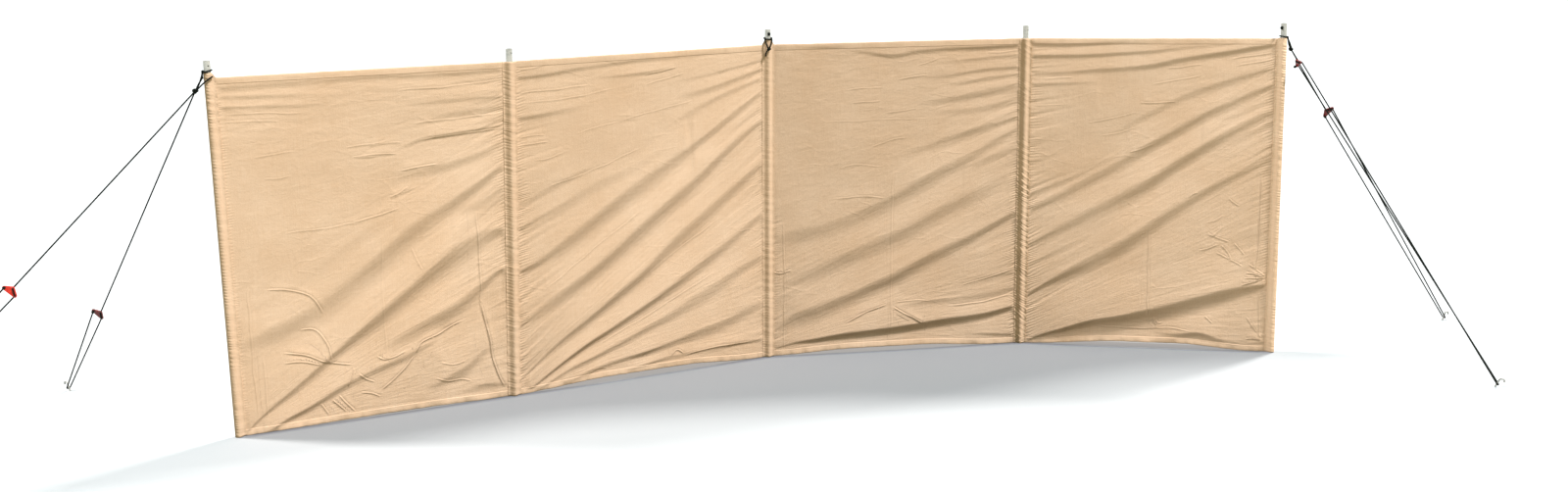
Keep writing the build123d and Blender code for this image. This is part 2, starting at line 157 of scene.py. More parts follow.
# ============================================================ folds of each bay
# A fold is where the cloth falls back under a crest. Each of its places gives the share along the
# bay, the share of the height, how tall the fall is in millimetres, and how steep.
FOLDS = (
    (   # left end bay: fans out of the low left corner
        ((.03, .012, 14, .42), (.10, .055, 20, .46), (.20, .108, 38, .40), (.30, .168, 48, .40),
         (.40, .228, 60, .40), (.50, .283, 78, .38), (.60, .340, 90, .36), (.70, .398, 105, .33),
         (.80, .452, 120, .27), (.90, .490, 90, .22), (.98, .510, 34, .30)),
        ((.11, .003, 16, .36), (.15, .020, 22, .40), (.25, .050, 32, .42), (.35, .088, 36, .40),
         (.42, .112, 34, .32), (.50, .135, 38, .27), (.60, .163, 34, .28), (.67, .188, 24, .20),
         (.74, .215, 20, 0)),
        ((.50, .180, 50, 0), (.60, .222, 70, .18), (.70, .258, 80, .25), (.80, .295, 84, .27),
         (.88, .343, 66, .27), (.94, .382, 34, .36), (.98, .396, 18, .45)),
        ((.03, .250, 40, .06), (.10, .272, 80, .14), (.20, .292, 100, .15), (.30, .328, 110, .16),
         (.40, .378, 115, .19), (.50, .437, 120, .22), (.60, .500, 120, .21), (.70, .556, 96, .22),
         (.80, .604, 76, .25), (.90, .657, 58, .24), (.98, .706, 32, .20)),
        ((.10, .360, 40, .05), (.30, .445, 60, .05), (.50, .550, 60, .06), (.62, .600, 60, 0)),
        ((.55, .690, 40, 0), (.65, .697, 44, .12), (.80, .714, 44, .17), (.90, .738, 40, .16),
         (.98, .768, 28, .12)),
        ((.78, .560, 40, 0), (.88, .590, 44, .15), (.98, .640, 26, .22)),
        ((.60, .770, 20, 0), (.68, .791, 16, .22), (.80, .804, 18, .26), (.98, .815, 16, .20)),
        ((.70, .850, 26, 0), (.82, .862, 30, .17), (.98, .872, 26, .15)),
        ((.60, .893, 18, 0), (.75, .897, 20, .15), (.98, .902, 18, .18)),
        ((.04, .966, 26, .20), (.25, .971, 26, .16), (.50, .976, 22, .16), (.75, .972, 20, .20),
         (.98, .975, 18, .18)),
        ((.02, .946, 20, .24), (.20, .940, 20, .16), (.40, .935, 20, 0)),
        ((.02, .918, 16, .22), (.20, .913, 16, .18), (.45, .908, 16, 0)),
        ((.66, .050, 30, 0), (.74, .072, 46, .20), (.82, .100, 60, .24), (.88, .140, 50, .14),
         (.92, .170, 40, 0)),
        ((.80, .030, 20, 0), (.88, .042, 24, .24), (.96, .038, 20, .18)),
    ),
    (   # left inner bay: long diagonals from the left pole to the top of the middle one
        ((.02, .372, 16, .40), (.10, .400, 44, .22), (.20, .446, 84, .20), (.30, .498, 96, .21),
         (.40, .552, 100, .21), (.50, .602, 96, .21), (.60, .652, 76, .23), (.70, .703, 56, .26),
         (.80, .757, 50, .24), (.90, .812, 44, .20), (.98, .852, 26, .16)),
        ((.02, .205, 24, .12), (.10, .245, 60, .13), (.20, .295, 76, .22), (.30, .346, 82, .30),
         (.40, .404, 88, .28), (.50, .466, 100, .29), (.60, .530, 92, .29), (.70, .590, 80, .27),
         (.80, .660, 64, .27), (.90, .726, 44, .24), (.98, .768, 26, .26)),
        ((.03, .062, 22, .20), (.10, .100, 36, .22), (.20, .153, 48, .28), (.30, .204, 58, .34),
         (.40, .264, 70, .34), (.50, .326, 80, .32), (.60, .396, 88, .28), (.70, .455, 92, .25),
         (.80, .520, 76, .22), (.90, .580, 62, .20), (.98, .632, 34, .14)),
        ((.07, .014, 14, .40), (.12, .040, 20, .50), (.20, .079, 30, .52), (.30, .124, 38, .50),
         (.40, .167, 42, .46), (.50, .211, 50, .42), (.60, .261, 62, .34), (.70, .312, 70, .31),
         (.80, .366, 62, .25), (.90, .424, 54, .20), (.98, .470, 30, .24)),
        ((.10, .008, 10, .30), (.20, .044, 24, .30), (.30, .067, 32, .32), (.40, .099, 36, .26),
         (.50, .136, 46, .22), (.60, .172, 60, .18), (.70, .212, 78, .16), (.80, .255, 76, .15),
         (.90, .304, 60, .13), (.98, .335, 34, .10)),
        ((.20, .008, 12, .24), (.30, .030, 26, .30), (.40, .046, 26, .26), (.50, .058, 32, .42),
         (.60, .073, 38, .30), (.70, .094, 56, .26), (.80, .118, 64, .22), (.90, .152, 66, .16),
         (.98, .172, 34, .10)),
        ((.44, .012, 14, .10), (.52, .022, 18, .36), (.60, .030, 20, .22), (.75, .040, 20, .22),
         (.88, .055, 20, .36), (.97, .060, 16, .22)),
        ((.02, .500, 24, .22), (.10, .528, 44, .13), (.20, .562, 60, .12), (.30, .606, 60, .12),
         (.45, .650, 50, .08), (.60, .715, 40, 0)),
        ((.02, .572, 22, .14), (.12, .610, 34, .15), (.22, .645, 34, .12), (.35, .690, 30, 0)),
        ((.55, .755, 30, 0), (.66, .800, 36, .10), (.76, .838, 30, .14), (.88, .872, 24, .18),
         (.98, .895, 18, .16)),
        ((.62, .860, 22, 0), (.72, .868, 34, .14), (.85, .893, 32, .22), (.98, .925, 20, .22)),
        ((.60, .905, 16, 0), (.75, .918, 16, .16), (.98, .955, 16, .24)),
        ((.66, .700, 20, 0), (.78, .705, 22, .06), (.90, .770, 24, .16), (.98, .808, 18, .20)),
        ((.02, .832, 20, .26), (.15, .842, 24, .16), (.30, .856, 20, 0)),
        ((.02, .948, 16, .30), (.15, .955, 20, .26), (.30, .968, 20, .16), (.45, .977, 18, .24),
         (.70, .982, 16, .10), (.85, .985, 14, 0)),
        ((.30, .934, 12, 0), (.42, .936, 16, .20), (.52, .940, 16, .24), (.66, .953, 12, 0)),
    ),
    (   # right inner bay: smooth high on the left, a deep fold low down
        ((.03, .024, 10, .30), (.10, .037, 16, .44), (.20, .040, 24, .58), (.30, .046, 30, .66),
         (.40, .052, 34, .66), (.50, .059, 38, .60), (.60, .068, 42, .54), (.70, .080, 46, .50),
         (.80, .092, 46, .50), (.90, .107, 38, .52), (.98, .121, 26, .52)),
        ((.03, .085, 30, .06), (.10, .112, 84, .20), (.20, .132, 96, .23), (.30, .166, 82, .26),
         (.40, .203, 78, .28), (.50, .237, 82, .31), (.60, .281, 78, .28), (.70, .323, 72, .28),
         (.80, .360, 54, .29), (.90, .404, 46, .26), (.98, .442, 26, .30)),
        ((.05, .235, 30, 0), (.12, .248, 60, .12), (.20, .272, 84, .16), (.30, .308, 90, .17),
         (.40, .340, 92, .17), (.50, .370, 92, .20), (.60, .412, 96, .18), (.70, .458, 90, .17),
         (.80, .497, 84, .14), (.92, .545, 60, .05)),
        ((.04, .380, 40, .08), (.12, .392, 80, .12), (.20, .400, 84, .12), (.30, .427, 84, .15),
         (.40, .460, 82, .20), (.50, .500, 84, .22), (.60, .545, 88, .21), (.70, .588, 76, .21),
         (.80, .628, 60, .21), (.90, .676, 48, .19), (.98, .710, 28, .20)),
        ((.76, .580, 30, 0), (.84, .612, 40, .16), (.98, .652, 28, .16)),
        ((.45, .625, 36, 0), (.58, .654, 46, .10), (.70, .682, 50, .16), (.80, .706, 46, .20),
         (.90, .728, 36, .18), (.98, .747, 26, .20)),
        ((.56, .803, 24, 0), (.66, .806, 34, .14), (.80, .822, 42, .22), (.90, .838, 40, .20),
         (.98, .852, 28, .16)),
        ((.68, .856, 20, 0), (.80, .868, 26, .18), (.98, .889, 22, .20)),
        ((.55, .884, 12, 0), (.70, .890, 18, .18), (.85, .902, 20, .26), (.98, .908, 18, .28)),
        ((.60, .765, 24, 0), (.75, .775, 30, .10), (.98, .800, 24, .13)),
        ((.30, .977, 12, 0), (.38, .966, 18, .18), (.48, .956, 22, .28), (.58, .965, 22, .26),
         (.70, .970, 24, .34), (.85, .972, 24, .42), (.98, .976, 20, .42)),
        ((.62, .930, 14, 0), (.74, .935, 16, .16), (.98, .945, 16, .22)),
        ((.50, .130, 20, 0), (.60, .142, 26, .16), (.75, .152, 30, .16), (.90, .170, 28, .22),
         (.98, .186, 18, .26)),
        ((.70, .205, 30, 0), (.82, .216, 36, .08), (.98, .240, 22, .22)),
        ((.78, .036, 16, 0), (.88, .033, 20, .26), (.98, .026, 18, .26)),
        ((.10, .985, 10, 0), (.20, .988, 14, .20), (.32, .985, 10, 0)),
    ),
    (   # right end bay: long diagonals, and one deep fold low down
        ((.02, .008, 10, .40), (.10, .030, 18, .70), (.20, .048, 34, .72), (.30, .064, 50, .66),
         (.40, .076, 62, .58), (.50, .092, 76, .46), (.60, .114, 84, .40), (.70, .142, 90, .38),
         (.80, .174, 78, .38), (.90, .201, 46, .44), (.98, .216, 20, .52)),
        ((.02, .158, 16, .36), (.10, .200, 34, .32), (.20, .240, 62, .28), (.30, .281, 88, .21),
         (.40, .328, 92, .24), (.50, .388, 84, .27), (.60, .448, 72, .25), (.70, .500, 54, .25),
         (.80, .548, 50, .23), (.90, .598, 42, .20), (.98, .634, 28, .22)),
        ((.02, .325, 24, .16), (.10, .360, 56, .15), (.20, .402, 76, .16), (.30, .446, 84, .18),
         (.40, .488, 86, .20), (.50, .536, 84, .27), (.60, .594, 76, .27), (.70, .648, 64, .26),
         (.80, .698, 54, .26), (.90, .744, 42, .22), (.98, .776, 28, .18)),
        ((.02, .446, 20, .28), (.10, .474, 40, .20), (.20, .515, 56, .20), (.30, .560, 66, .19),
         (.40, .606, 66, .20), (.50, .655, 64, .26), (.60, .703, 58, .26), (.70, .750, 52, .26),
         (.80, .789, 44, .26), (.90, .828, 36, .23), (.98, .858, 22, .24)),
        ((.02, .492, 16, .12), (.10, .516, 26, .13), (.20, .552, 30, .14), (.32, .606, 30, .12),
         (.42, .650, 26, 0)),
        ((.35, .700, 26, 0), (.45, .742, 34, .12), (.55, .782, 38, .15), (.65, .822, 42, .17),
         (.75, .850, 44, .19), (.85, .875, 38, .19), (.98, .908, 22, .22)),
        ((.02, .255, 18, .20), (.12, .300, 26, .16), (.22, .342, 26, .10), (.32, .380, 24, 0)),
        ((.02, .890, 20, .20), (.15, .891, 24, .20), (.30, .899, 24, .22), (.40, .905, 24, .26),
         (.50, .915, 28, .30), (.60, .930, 30, .30), (.70, .944, 28, .34), (.80, .957, 24, .42),
         (.90, .971, 20, .48), (.98, .982, 16, .44)),
        ((.02, .943, 18, .30), (.20, .945, 20, .28), (.40, .952, 20, .26), (.55, .962, 20, .20),
         (.75, .978, 16, .14), (.90, .988, 12, 0)),
        ((.02, .980, 16, .36), (.20, .981, 16, .32), (.40, .986, 14, .18), (.55, .990, 10, 0)),
        ((.02, .851, 16, .20), (.15, .855, 18, .20), (.30, .861, 16, 0)),
        ((.54, .030, 16, 0), (.64, .028, 24, .26), (.72, .036, 26, .40), (.80, .024, 24, .24),
         (.88, .022, 18, .10), (.97, .028, 16, .22)),
        ((.72, .300, 40, 0), (.84, .345, 60, .06), (.98, .400, 40, .05)),
        ((.70, .745, 20, 0), (.82, .752, 22, .10), (.98, .812, 18, .20)),
    ),
)

STEEPNESS = (.80, .83, .73, .78)              # how much of its steepness each bay's cloth has kept

# Sharp creases left by folding and pulling, as the points of a line, then width and height.
CREASES = (
    (
        (((.865, .59), (.873, .485), (.876, .38), (.878, .30), (.891, .238)), 8, 1.6),
        (((.878, .30), (.891, .238), (.905, .185), (.916, .124), (.937, .07), (.962, .028)), 9, 3.0),
        (((.628, .165), (.645, .188), (.662, .203), (.716, .216), (.759, .234), (.813, .252)), 9, 2.8),
        (((.505, .07), (.549, .097), (.597, .132), (.632, .166)), 8, 2.6),
        (((.122, .406), (.192, .402), (.273, .375), (.316, .318)), 8, 1.5),
        (((.23, .282), (.284, .274), (.322, .229), (.333, .181)), 8, 1.7),
        (((.165, .221), (.241, .207), (.306, .181), (.36, .168), (.414, .159)), 9, 2.2),
        (((.168, .190), (.232, .188), (.30, .172)), 8, 1.6),
        (((.387, .095), (.398, .12), (.410, .152)), 7, 2.2),
        (((.424, .130), (.45, .112), (.482, .100)), 7, 1.8),
        (((.327, .064), (.345, .048), (.372, .024)), 8, 2.0),
        (((.349, .076), (.37, .052), (.405, .020)), 8, 2.2),
        (((.284, .056), (.30, .038), (.313, .022)), 7, 1.6),
        (((.43, .075), (.47, .066), (.50, .052)), 8, 1.6),
        (((.49, .178), (.52, .162), (.56, .166), (.60, .18)), 8, 1.8),
        (((.527, .54), (.524, .35), (.530, .16)), 7, .7),
        (((.066, .43), (.064, .25), (.068, .03)), 7, .8),
        (((.098, .22), (.100, .12), (.104, .04)), 7, .9),
        (((.63, .485), (.648, .45), (.667, .415)), 7, .9),
        (((.608, .71), (.67, .716), (.738, .719)), 8, 1.4),
        (((.565, .635), (.60, .645), (.63, .662)), 8, 1.2),
        (((.68, .792), (.83, .80), (.98, .812)), 8, 1.4),
        (((.44, .755), (.52, .76), (.60, .757)), 7, .9),
        (((.50, .785), (.56, .79), (.62, .788)), 7, .8),
        (((.20, .560), (.35, .565), (.48, .575)), 8, .7),
        (((.70, .085), (.75, .068), (.80, .072), (.84, .060)), 8, 1.4),
        (((.72, .130), (.77, .120), (.82, .128)), 8, 1.2),
    ),
    (
        (((.60, .035), (.625, .052), (.65, .038)), 8, 1.8),
        (((.65, .03), (.8, .05), (.93, .06)), 9, 1.6),
        (((.28, .016), (.31, .030), (.35, .026)), 8, 1.4),
        (((.5, .935), (.57, .94), (.63, .95)), 7, 1.2),
        (((.12, .62), (.3, .66), (.5, .72)), 12, .7),
        (((.10, .30), (.3, .42), (.5, .53)), 12, .7),
        (((.4, .26), (.6, .37), (.8, .47)), 12, .8),
        (((.3, .10), (.5, .18), (.8, .31)), 12, .8),
    ),
    (
        (((.30, .088), (.37, .115), (.424, .132), (.468, .146)), 9, 2.4),
        (((.487, .134), (.532, .110), (.581, .084), (.612, .070)), 9, 3.0),
        (((.50, .114), (.53, .098), (.556, .086)), 8, 2.0),
        (((.619, .078), (.620, .062), (.618, .046)), 7, 1.6),
        (((.5, .148), (.56, .155), (.64, .150)), 8, 1.0),
        (((.7, .13), (.85, .145), (.97, .165)), 10, 1.6),
        (((.75, .20), (.87, .225), (.97, .25)), 9, 1.4),
        (((.02, .275), (.05, .27), (.09, .28)), 8, 2.6),
        (((.482, .62), (.478, .30), (.482, .01)), 6, .8),
        (((.472, .18), (.470, .09), (.474, .01)), 6, .9),
        (((.25, .507), (.35, .510), (.46, .504)), 8, .8),
        (((.058, .45), (.060, .22), (.058, .01)), 7, 1.0),
    ),
    (
        (((.30, .05), (.45, .045), (.58, .05), (.70, .04)), 12, 1.4),
        (((.508, .40), (.507, .24), (.510, .07)), 7, 1.5),
        (((.527, .082), (.54, .066), (.552, .060)), 7, 2.4),
        (((.545, .076), (.556, .064), (.572, .066)), 7, 2.0),
        (((.937, .58), (.935, .42), (.930, .265)), 8, 1.8),
        (((.945, .20), (.946, .12), (.950, .04)), 8, 1.6),
        (((.89, .256), (.92, .252), (.964, .243)), 8, 2.4),
        (((.885, .236), (.92, .240), (.964, .240)), 8, 2.2),
        (((.875, .214), (.92, .226), (.962, .237)), 8, 2.4),
        (((.90, .285), (.935, .262), (.966, .245)), 8, 2.0),
        (((.657, .494), (.675, .506), (.694, .512)), 7, 1.2),
        (((.813, .494), (.835, .478), (.856, .468)), 7, 1.2),
        (((.705, .322), (.745, .330), (.781, .344)), 7, 1.4),
        (((.738, .379), (.78, .364), (.824, .353)), 7, 1.5),
        (((.745, .362), (.775, .385), (.80, .405)), 7, 1.2),
        (((.77, .318), (.82, .300), (.878, .274)), 7, 1.5),
        (((.79, .345), (.815, .322), (.83, .298)), 7, 1.3),
        (((.84, .352), (.862, .330), (.88, .312)), 7, 1.3),
        (((.735, .415), (.77, .422), (.80, .440)), 7, 1.0),
        (((.738, .098), (.752, .088), (.768, .078)), 7, 1.6),
        (((.895, .112), (.93, .075), (.962, .042)), 8, 1.2),
        (((.90, .036), (.93, .040), (.965, .038)), 8, 1.8),
    ),
)

# Fine ticks where the needle drew the cloth in beside each seam: side, reach, spacing, lowest and
# highest share of the canvas height, strength and slope.
TICKS = (
    (("left", .020, .0105, .05, .95, .5, .1), ("right", .045, .0115, .40, .97, .6, .35)),
    (("left", .050, .0105, .03, .99, .8, .25), ("right", .040, .0115, .05, .97, .5, .5)),
    (("left", .036, .0105, .00, .47, .35, .1), ("right", .045, .0100, .00, .62, 1.0, .3),
     ("right", .040, .0120, .62, .97, .4, .2)),
    (("left", .060, .0115, .00, .52, 1.1, .45), ("left", .050, .0120, .52, .99, .6, .1),
     ("right", .045, .0115, .12, .98, .8, .35)),
)

# Level wrinkles under the top hem: points, width and height.
TOP_WRINKLES = (
    (
        (((.03, .898), (.15, .895), (.3, .890)), 9, .6),
        (((.03, .877), (.12, .876), (.22, .870)), 9, .6),
        (((.60, .935), (.8, .938), (.97, .95)), 10, .8),
        (((.65, .84), (.8, .845), (.97, .855)), 11, .8),
        (((.45, .757), (.52, .756), (.60, .760)), 9, .9),
        (((.42, .785), (.50, .79), (.57, .795)), 9, .7),
        (((.44, .575), (.50, .582), (.60, .603)), 10, 1.2),
        (((.56, .630), (.60, .640), (.66, .660)), 9, 1.0),
        (((.12, .778), (.18, .780), (.26, .788)), 10, .6),
        (((.15, .715), (.20, .716), (.24, .722)), 9, .6),
    ),
    (
        (((.03, .973), (.08, .975), (.14, .985)), 9, .8),
        (((.03, .905), (.15, .908), (.3, .915)), 10, .8),
        (((.03, .875), (.2, .880), (.4, .900)), 10, .6),
        (((.03, .753), (.08, .757), (.14, .757)), 9, 1.0),
        (((.03, .775), (.08, .778), (.13, .780)), 9, .7),
        (((.50, .903), (.58, .915), (.66, .930)), 10, .7),
        (((.40, .80), (.55, .825), (.7, .845)), 11, .6),
        (((.24, .775), (.40, .80), (.50, .805)), 11, .5),
        (((.08, .705), (.14, .71), (.20, .725)), 9, .6),
    ),
    (
        (((.45, .775), (.52, .78), (.58, .79)), 9, .6),
        (((.30, .852), (.38, .856), (.45, .856)), 9, .6),
        (((.32, .811), (.38, .812), (.44, .815)), 9, .7),
        (((.50, .880), (.56, .886), (.62, .890)), 9, .9),
        (((.58, .922), (.62, .930), (.66, .942)), 9, .7),
        (((.40, .668), (.48, .69), (.54, .695)), 10, .8),
        (((.27, .60), (.33, .612), (.45, .605)), 10, .6),
        (((.20, .752), (.35, .753), (.65, .755)), 10, .4),
        (((.85, .955), (.92, .958), (.975, .963)), 9, .9),
    ),
    (
        (((.45, .795), (.52, .797), (.60, .800)), 9, 1.0),
        (((.42, .638), (.46, .648), (.52, .665)), 10, 1.1),
        (((.55, .905), (.62, .91), (.70, .918)), 9, .7),
        (((.03, .870), (.1, .872), (.2, .875)), 9, .7),
        (((.03, .785), (.08, .786), (.16, .790)), 9, .6),
        (((.5, .855), (.6, .868), (.7, .885)), 11, .7),
        (((.80, .935), (.9, .945), (.975, .955)), 9, .9),
        (((.82, .915), (.9, .925), (.975, .935)), 9, .8),
        (((.25, .730), (.35, .745), (.45, .770)), 11, .6),
        (((.30, .690), (.38, .70), (.45, .72)), 11, .6),
    ),
)

# How the cloth bunches beside each seam, along the lines of pull: side, reach, spacing, height,
# lowest and highest share of the canvas height.
GATHERS = (
    (("left", .05, .034, .0006, .84, 1.0), ("right", .10, .028, .0015, .36, .98),
     ("right", .04, .020, .0010, .02, .36)),
    (("left", .12, .030, .0016, .05, .99), ("right", .10, .026, .0014, .50, .99),
     ("right", .05, .030, .0008, .05, .50)),
    (("left", .03, .022, .0013, .02, .50), ("right", .09, .027, .0014, .60, .99),
     ("right", .035, .017, .0018, .00, .30), ("right", .05, .024, .0010, .30, .60)),
    (("left", .09, .022, .0016, .02, .99), ("right", .08, .026, .0014, .55, .99),
     ("right", .04, .022, .0012, .03, .55)),
)

# Where the pull in each bay runs: heights of matching points at its left and right poles. Small
# folds follow it, and are as strong as the third number says.
PULL = (
    ((0, 0, .8), (.01, .30, 1.0), (.02, .50, 1.0), (.05, .62, .9), (.25, .72, .7), (.42, .78, .7),
     (.60, .83, .8), (.76, .87, .9), (.88, .92, 1.2), (.95, .96, 1.3), (1, 1, .8)),
    ((0, 0, .8), (.005, .20, 1.0), (.01, .36, 1.0), (.015, .50, 1.1), (.04, .68, 1.1), (.15, .80, 1.1),
     (.35, .89, 1.0), (.60, .93, .9), (.82, .955, 1.1), (.93, .975, 1.2), (1, 1, .8)),
    ((0, 0, .8), (.02, .13, 1.1), (.05, .28, 1.0), (.08, .45, 1.0), (.19, .56, .9), (.34, .71, .8),
     (.55, .80, .7), (.75, .88, .8), (.88, .93, .9), (.95, .965, 1.0), (1, 1, .7)),
    ((0, 0, .8), (.015, .10, .9), (.02, .225, 1.0), (.07, .45, .9), (.16, .63, 1.0), (.33, .78, 1.1),
     (.49, .90, 1.1), (.70, .945, .9), (.86, .965, 1.0), (.93, .985, 1.3), (1, 1, .9)),
)

# Parts of a bay that hang smooth: their middle, their half width and height, and how smooth.
SMOOTH_PARTS = (
    (.22, .70, .30, .22, .55),
    (.30, .80, .25, .10, .25),
    (.20, .76, .32, .24, .80),
    (.24, .76, .26, .14, .45),
)

CREASE_WANDER = .0022         # how far a crease strays from its line
# Small folds along the pull, from broad to fine: length, spacing and height.
STREAKS = ((.42, .050, .0012), (.30, .031, .0010), (.17, .018, .0007), (.10, .0115, .00035))

# How far the lower edge is drawn up between the poles: height, and where it starts and ends.
BOTTOM_ARCH = ((.004, .25, .95), (.017, .12, .95), (.014, .10, .90), (.019, .15, .93))


def through(places, values, x):
    """Smooth curve through values at rising places, level beyond both ends."""
    slopes = np.gradient(values, places)
    index = np.clip(np.searchsorted(places, x.ravel()) - 1, 0, len(places) - 2).reshape(x.shape)
    start, run = places[index], places[index + 1] - places[index]
    u = np.clip((x - start) / run, 0, 1)
    first = (1 + 2 * u) * (1 - u) ** 2 * values[index] + u * (1 - u) ** 2 * run * slopes[index]
    last = u * u * (3 - 2 * u) * values[index + 1] + u * u * (u - 1) * run * slopes[index + 1]
    return first + last


def spline_line(points, steps=7):
    """Smooth line through a few points of the cloth."""
    pts = np.array(points, float)
    pts = np.vstack((2 * pts[0] - pts[1], pts, 2 * pts[-1] - pts[-2]))
    line = []
    for a, b, c, d in zip(pts, pts[1:], pts[2:], pts[3:]):
        for step in range(steps):
            u = step / steps
            line.append(0.5 * (2 * b + (c - a) * u + (2 * a - 5 * b + 4 * c - d) * u ** 2
                               + (3 * b - a - 3 * c + d) * u ** 3))
    line.append(pts[-2])
    return np.array(line)


def beside_line(x, y, line):
    """For each point: how far it is above the line, and its share of the way along it."""
    best = np.full(x.shape, 1e9)
    above = np.zeros(x.shape)
    share = np.zeros(x.shape)
    steps = np.linalg.norm(np.diff(line, axis=0), axis=1)
    reached = np.concatenate(((0,), np.cumsum(steps)))
    for (ax, ay), (bx, by), length, before in zip(line, line[1:], steps, reached):
        dx, dy = (bx - ax) / length, (by - ay) / length
        along = np.clip((x - ax) * dx + (y - ay) * dy, 0, length)
        gap = np.hypot(x - ax - dx * along, y - ay - dy * along)
        nearer = gap < best
        best = np.where(nearer, gap, best)
        above = np.where(nearer, (y - ay) * dx - (x - ax) * dy, above)
        share = np.where(nearer, (before + along) / reached[-1], share)
    return np.copysign(best, above), share


def fold_profile(u):
    """Height of a fold against the distance from its line: a crest above it, a hollow below."""
    crest = np.clip(u, 0, None) / 0.7
    hollow = np.clip(-u, 0, None) / 0.35
    return crest * np.exp(1 - crest) - 0.5 * hollow * np.exp(1 - hollow)


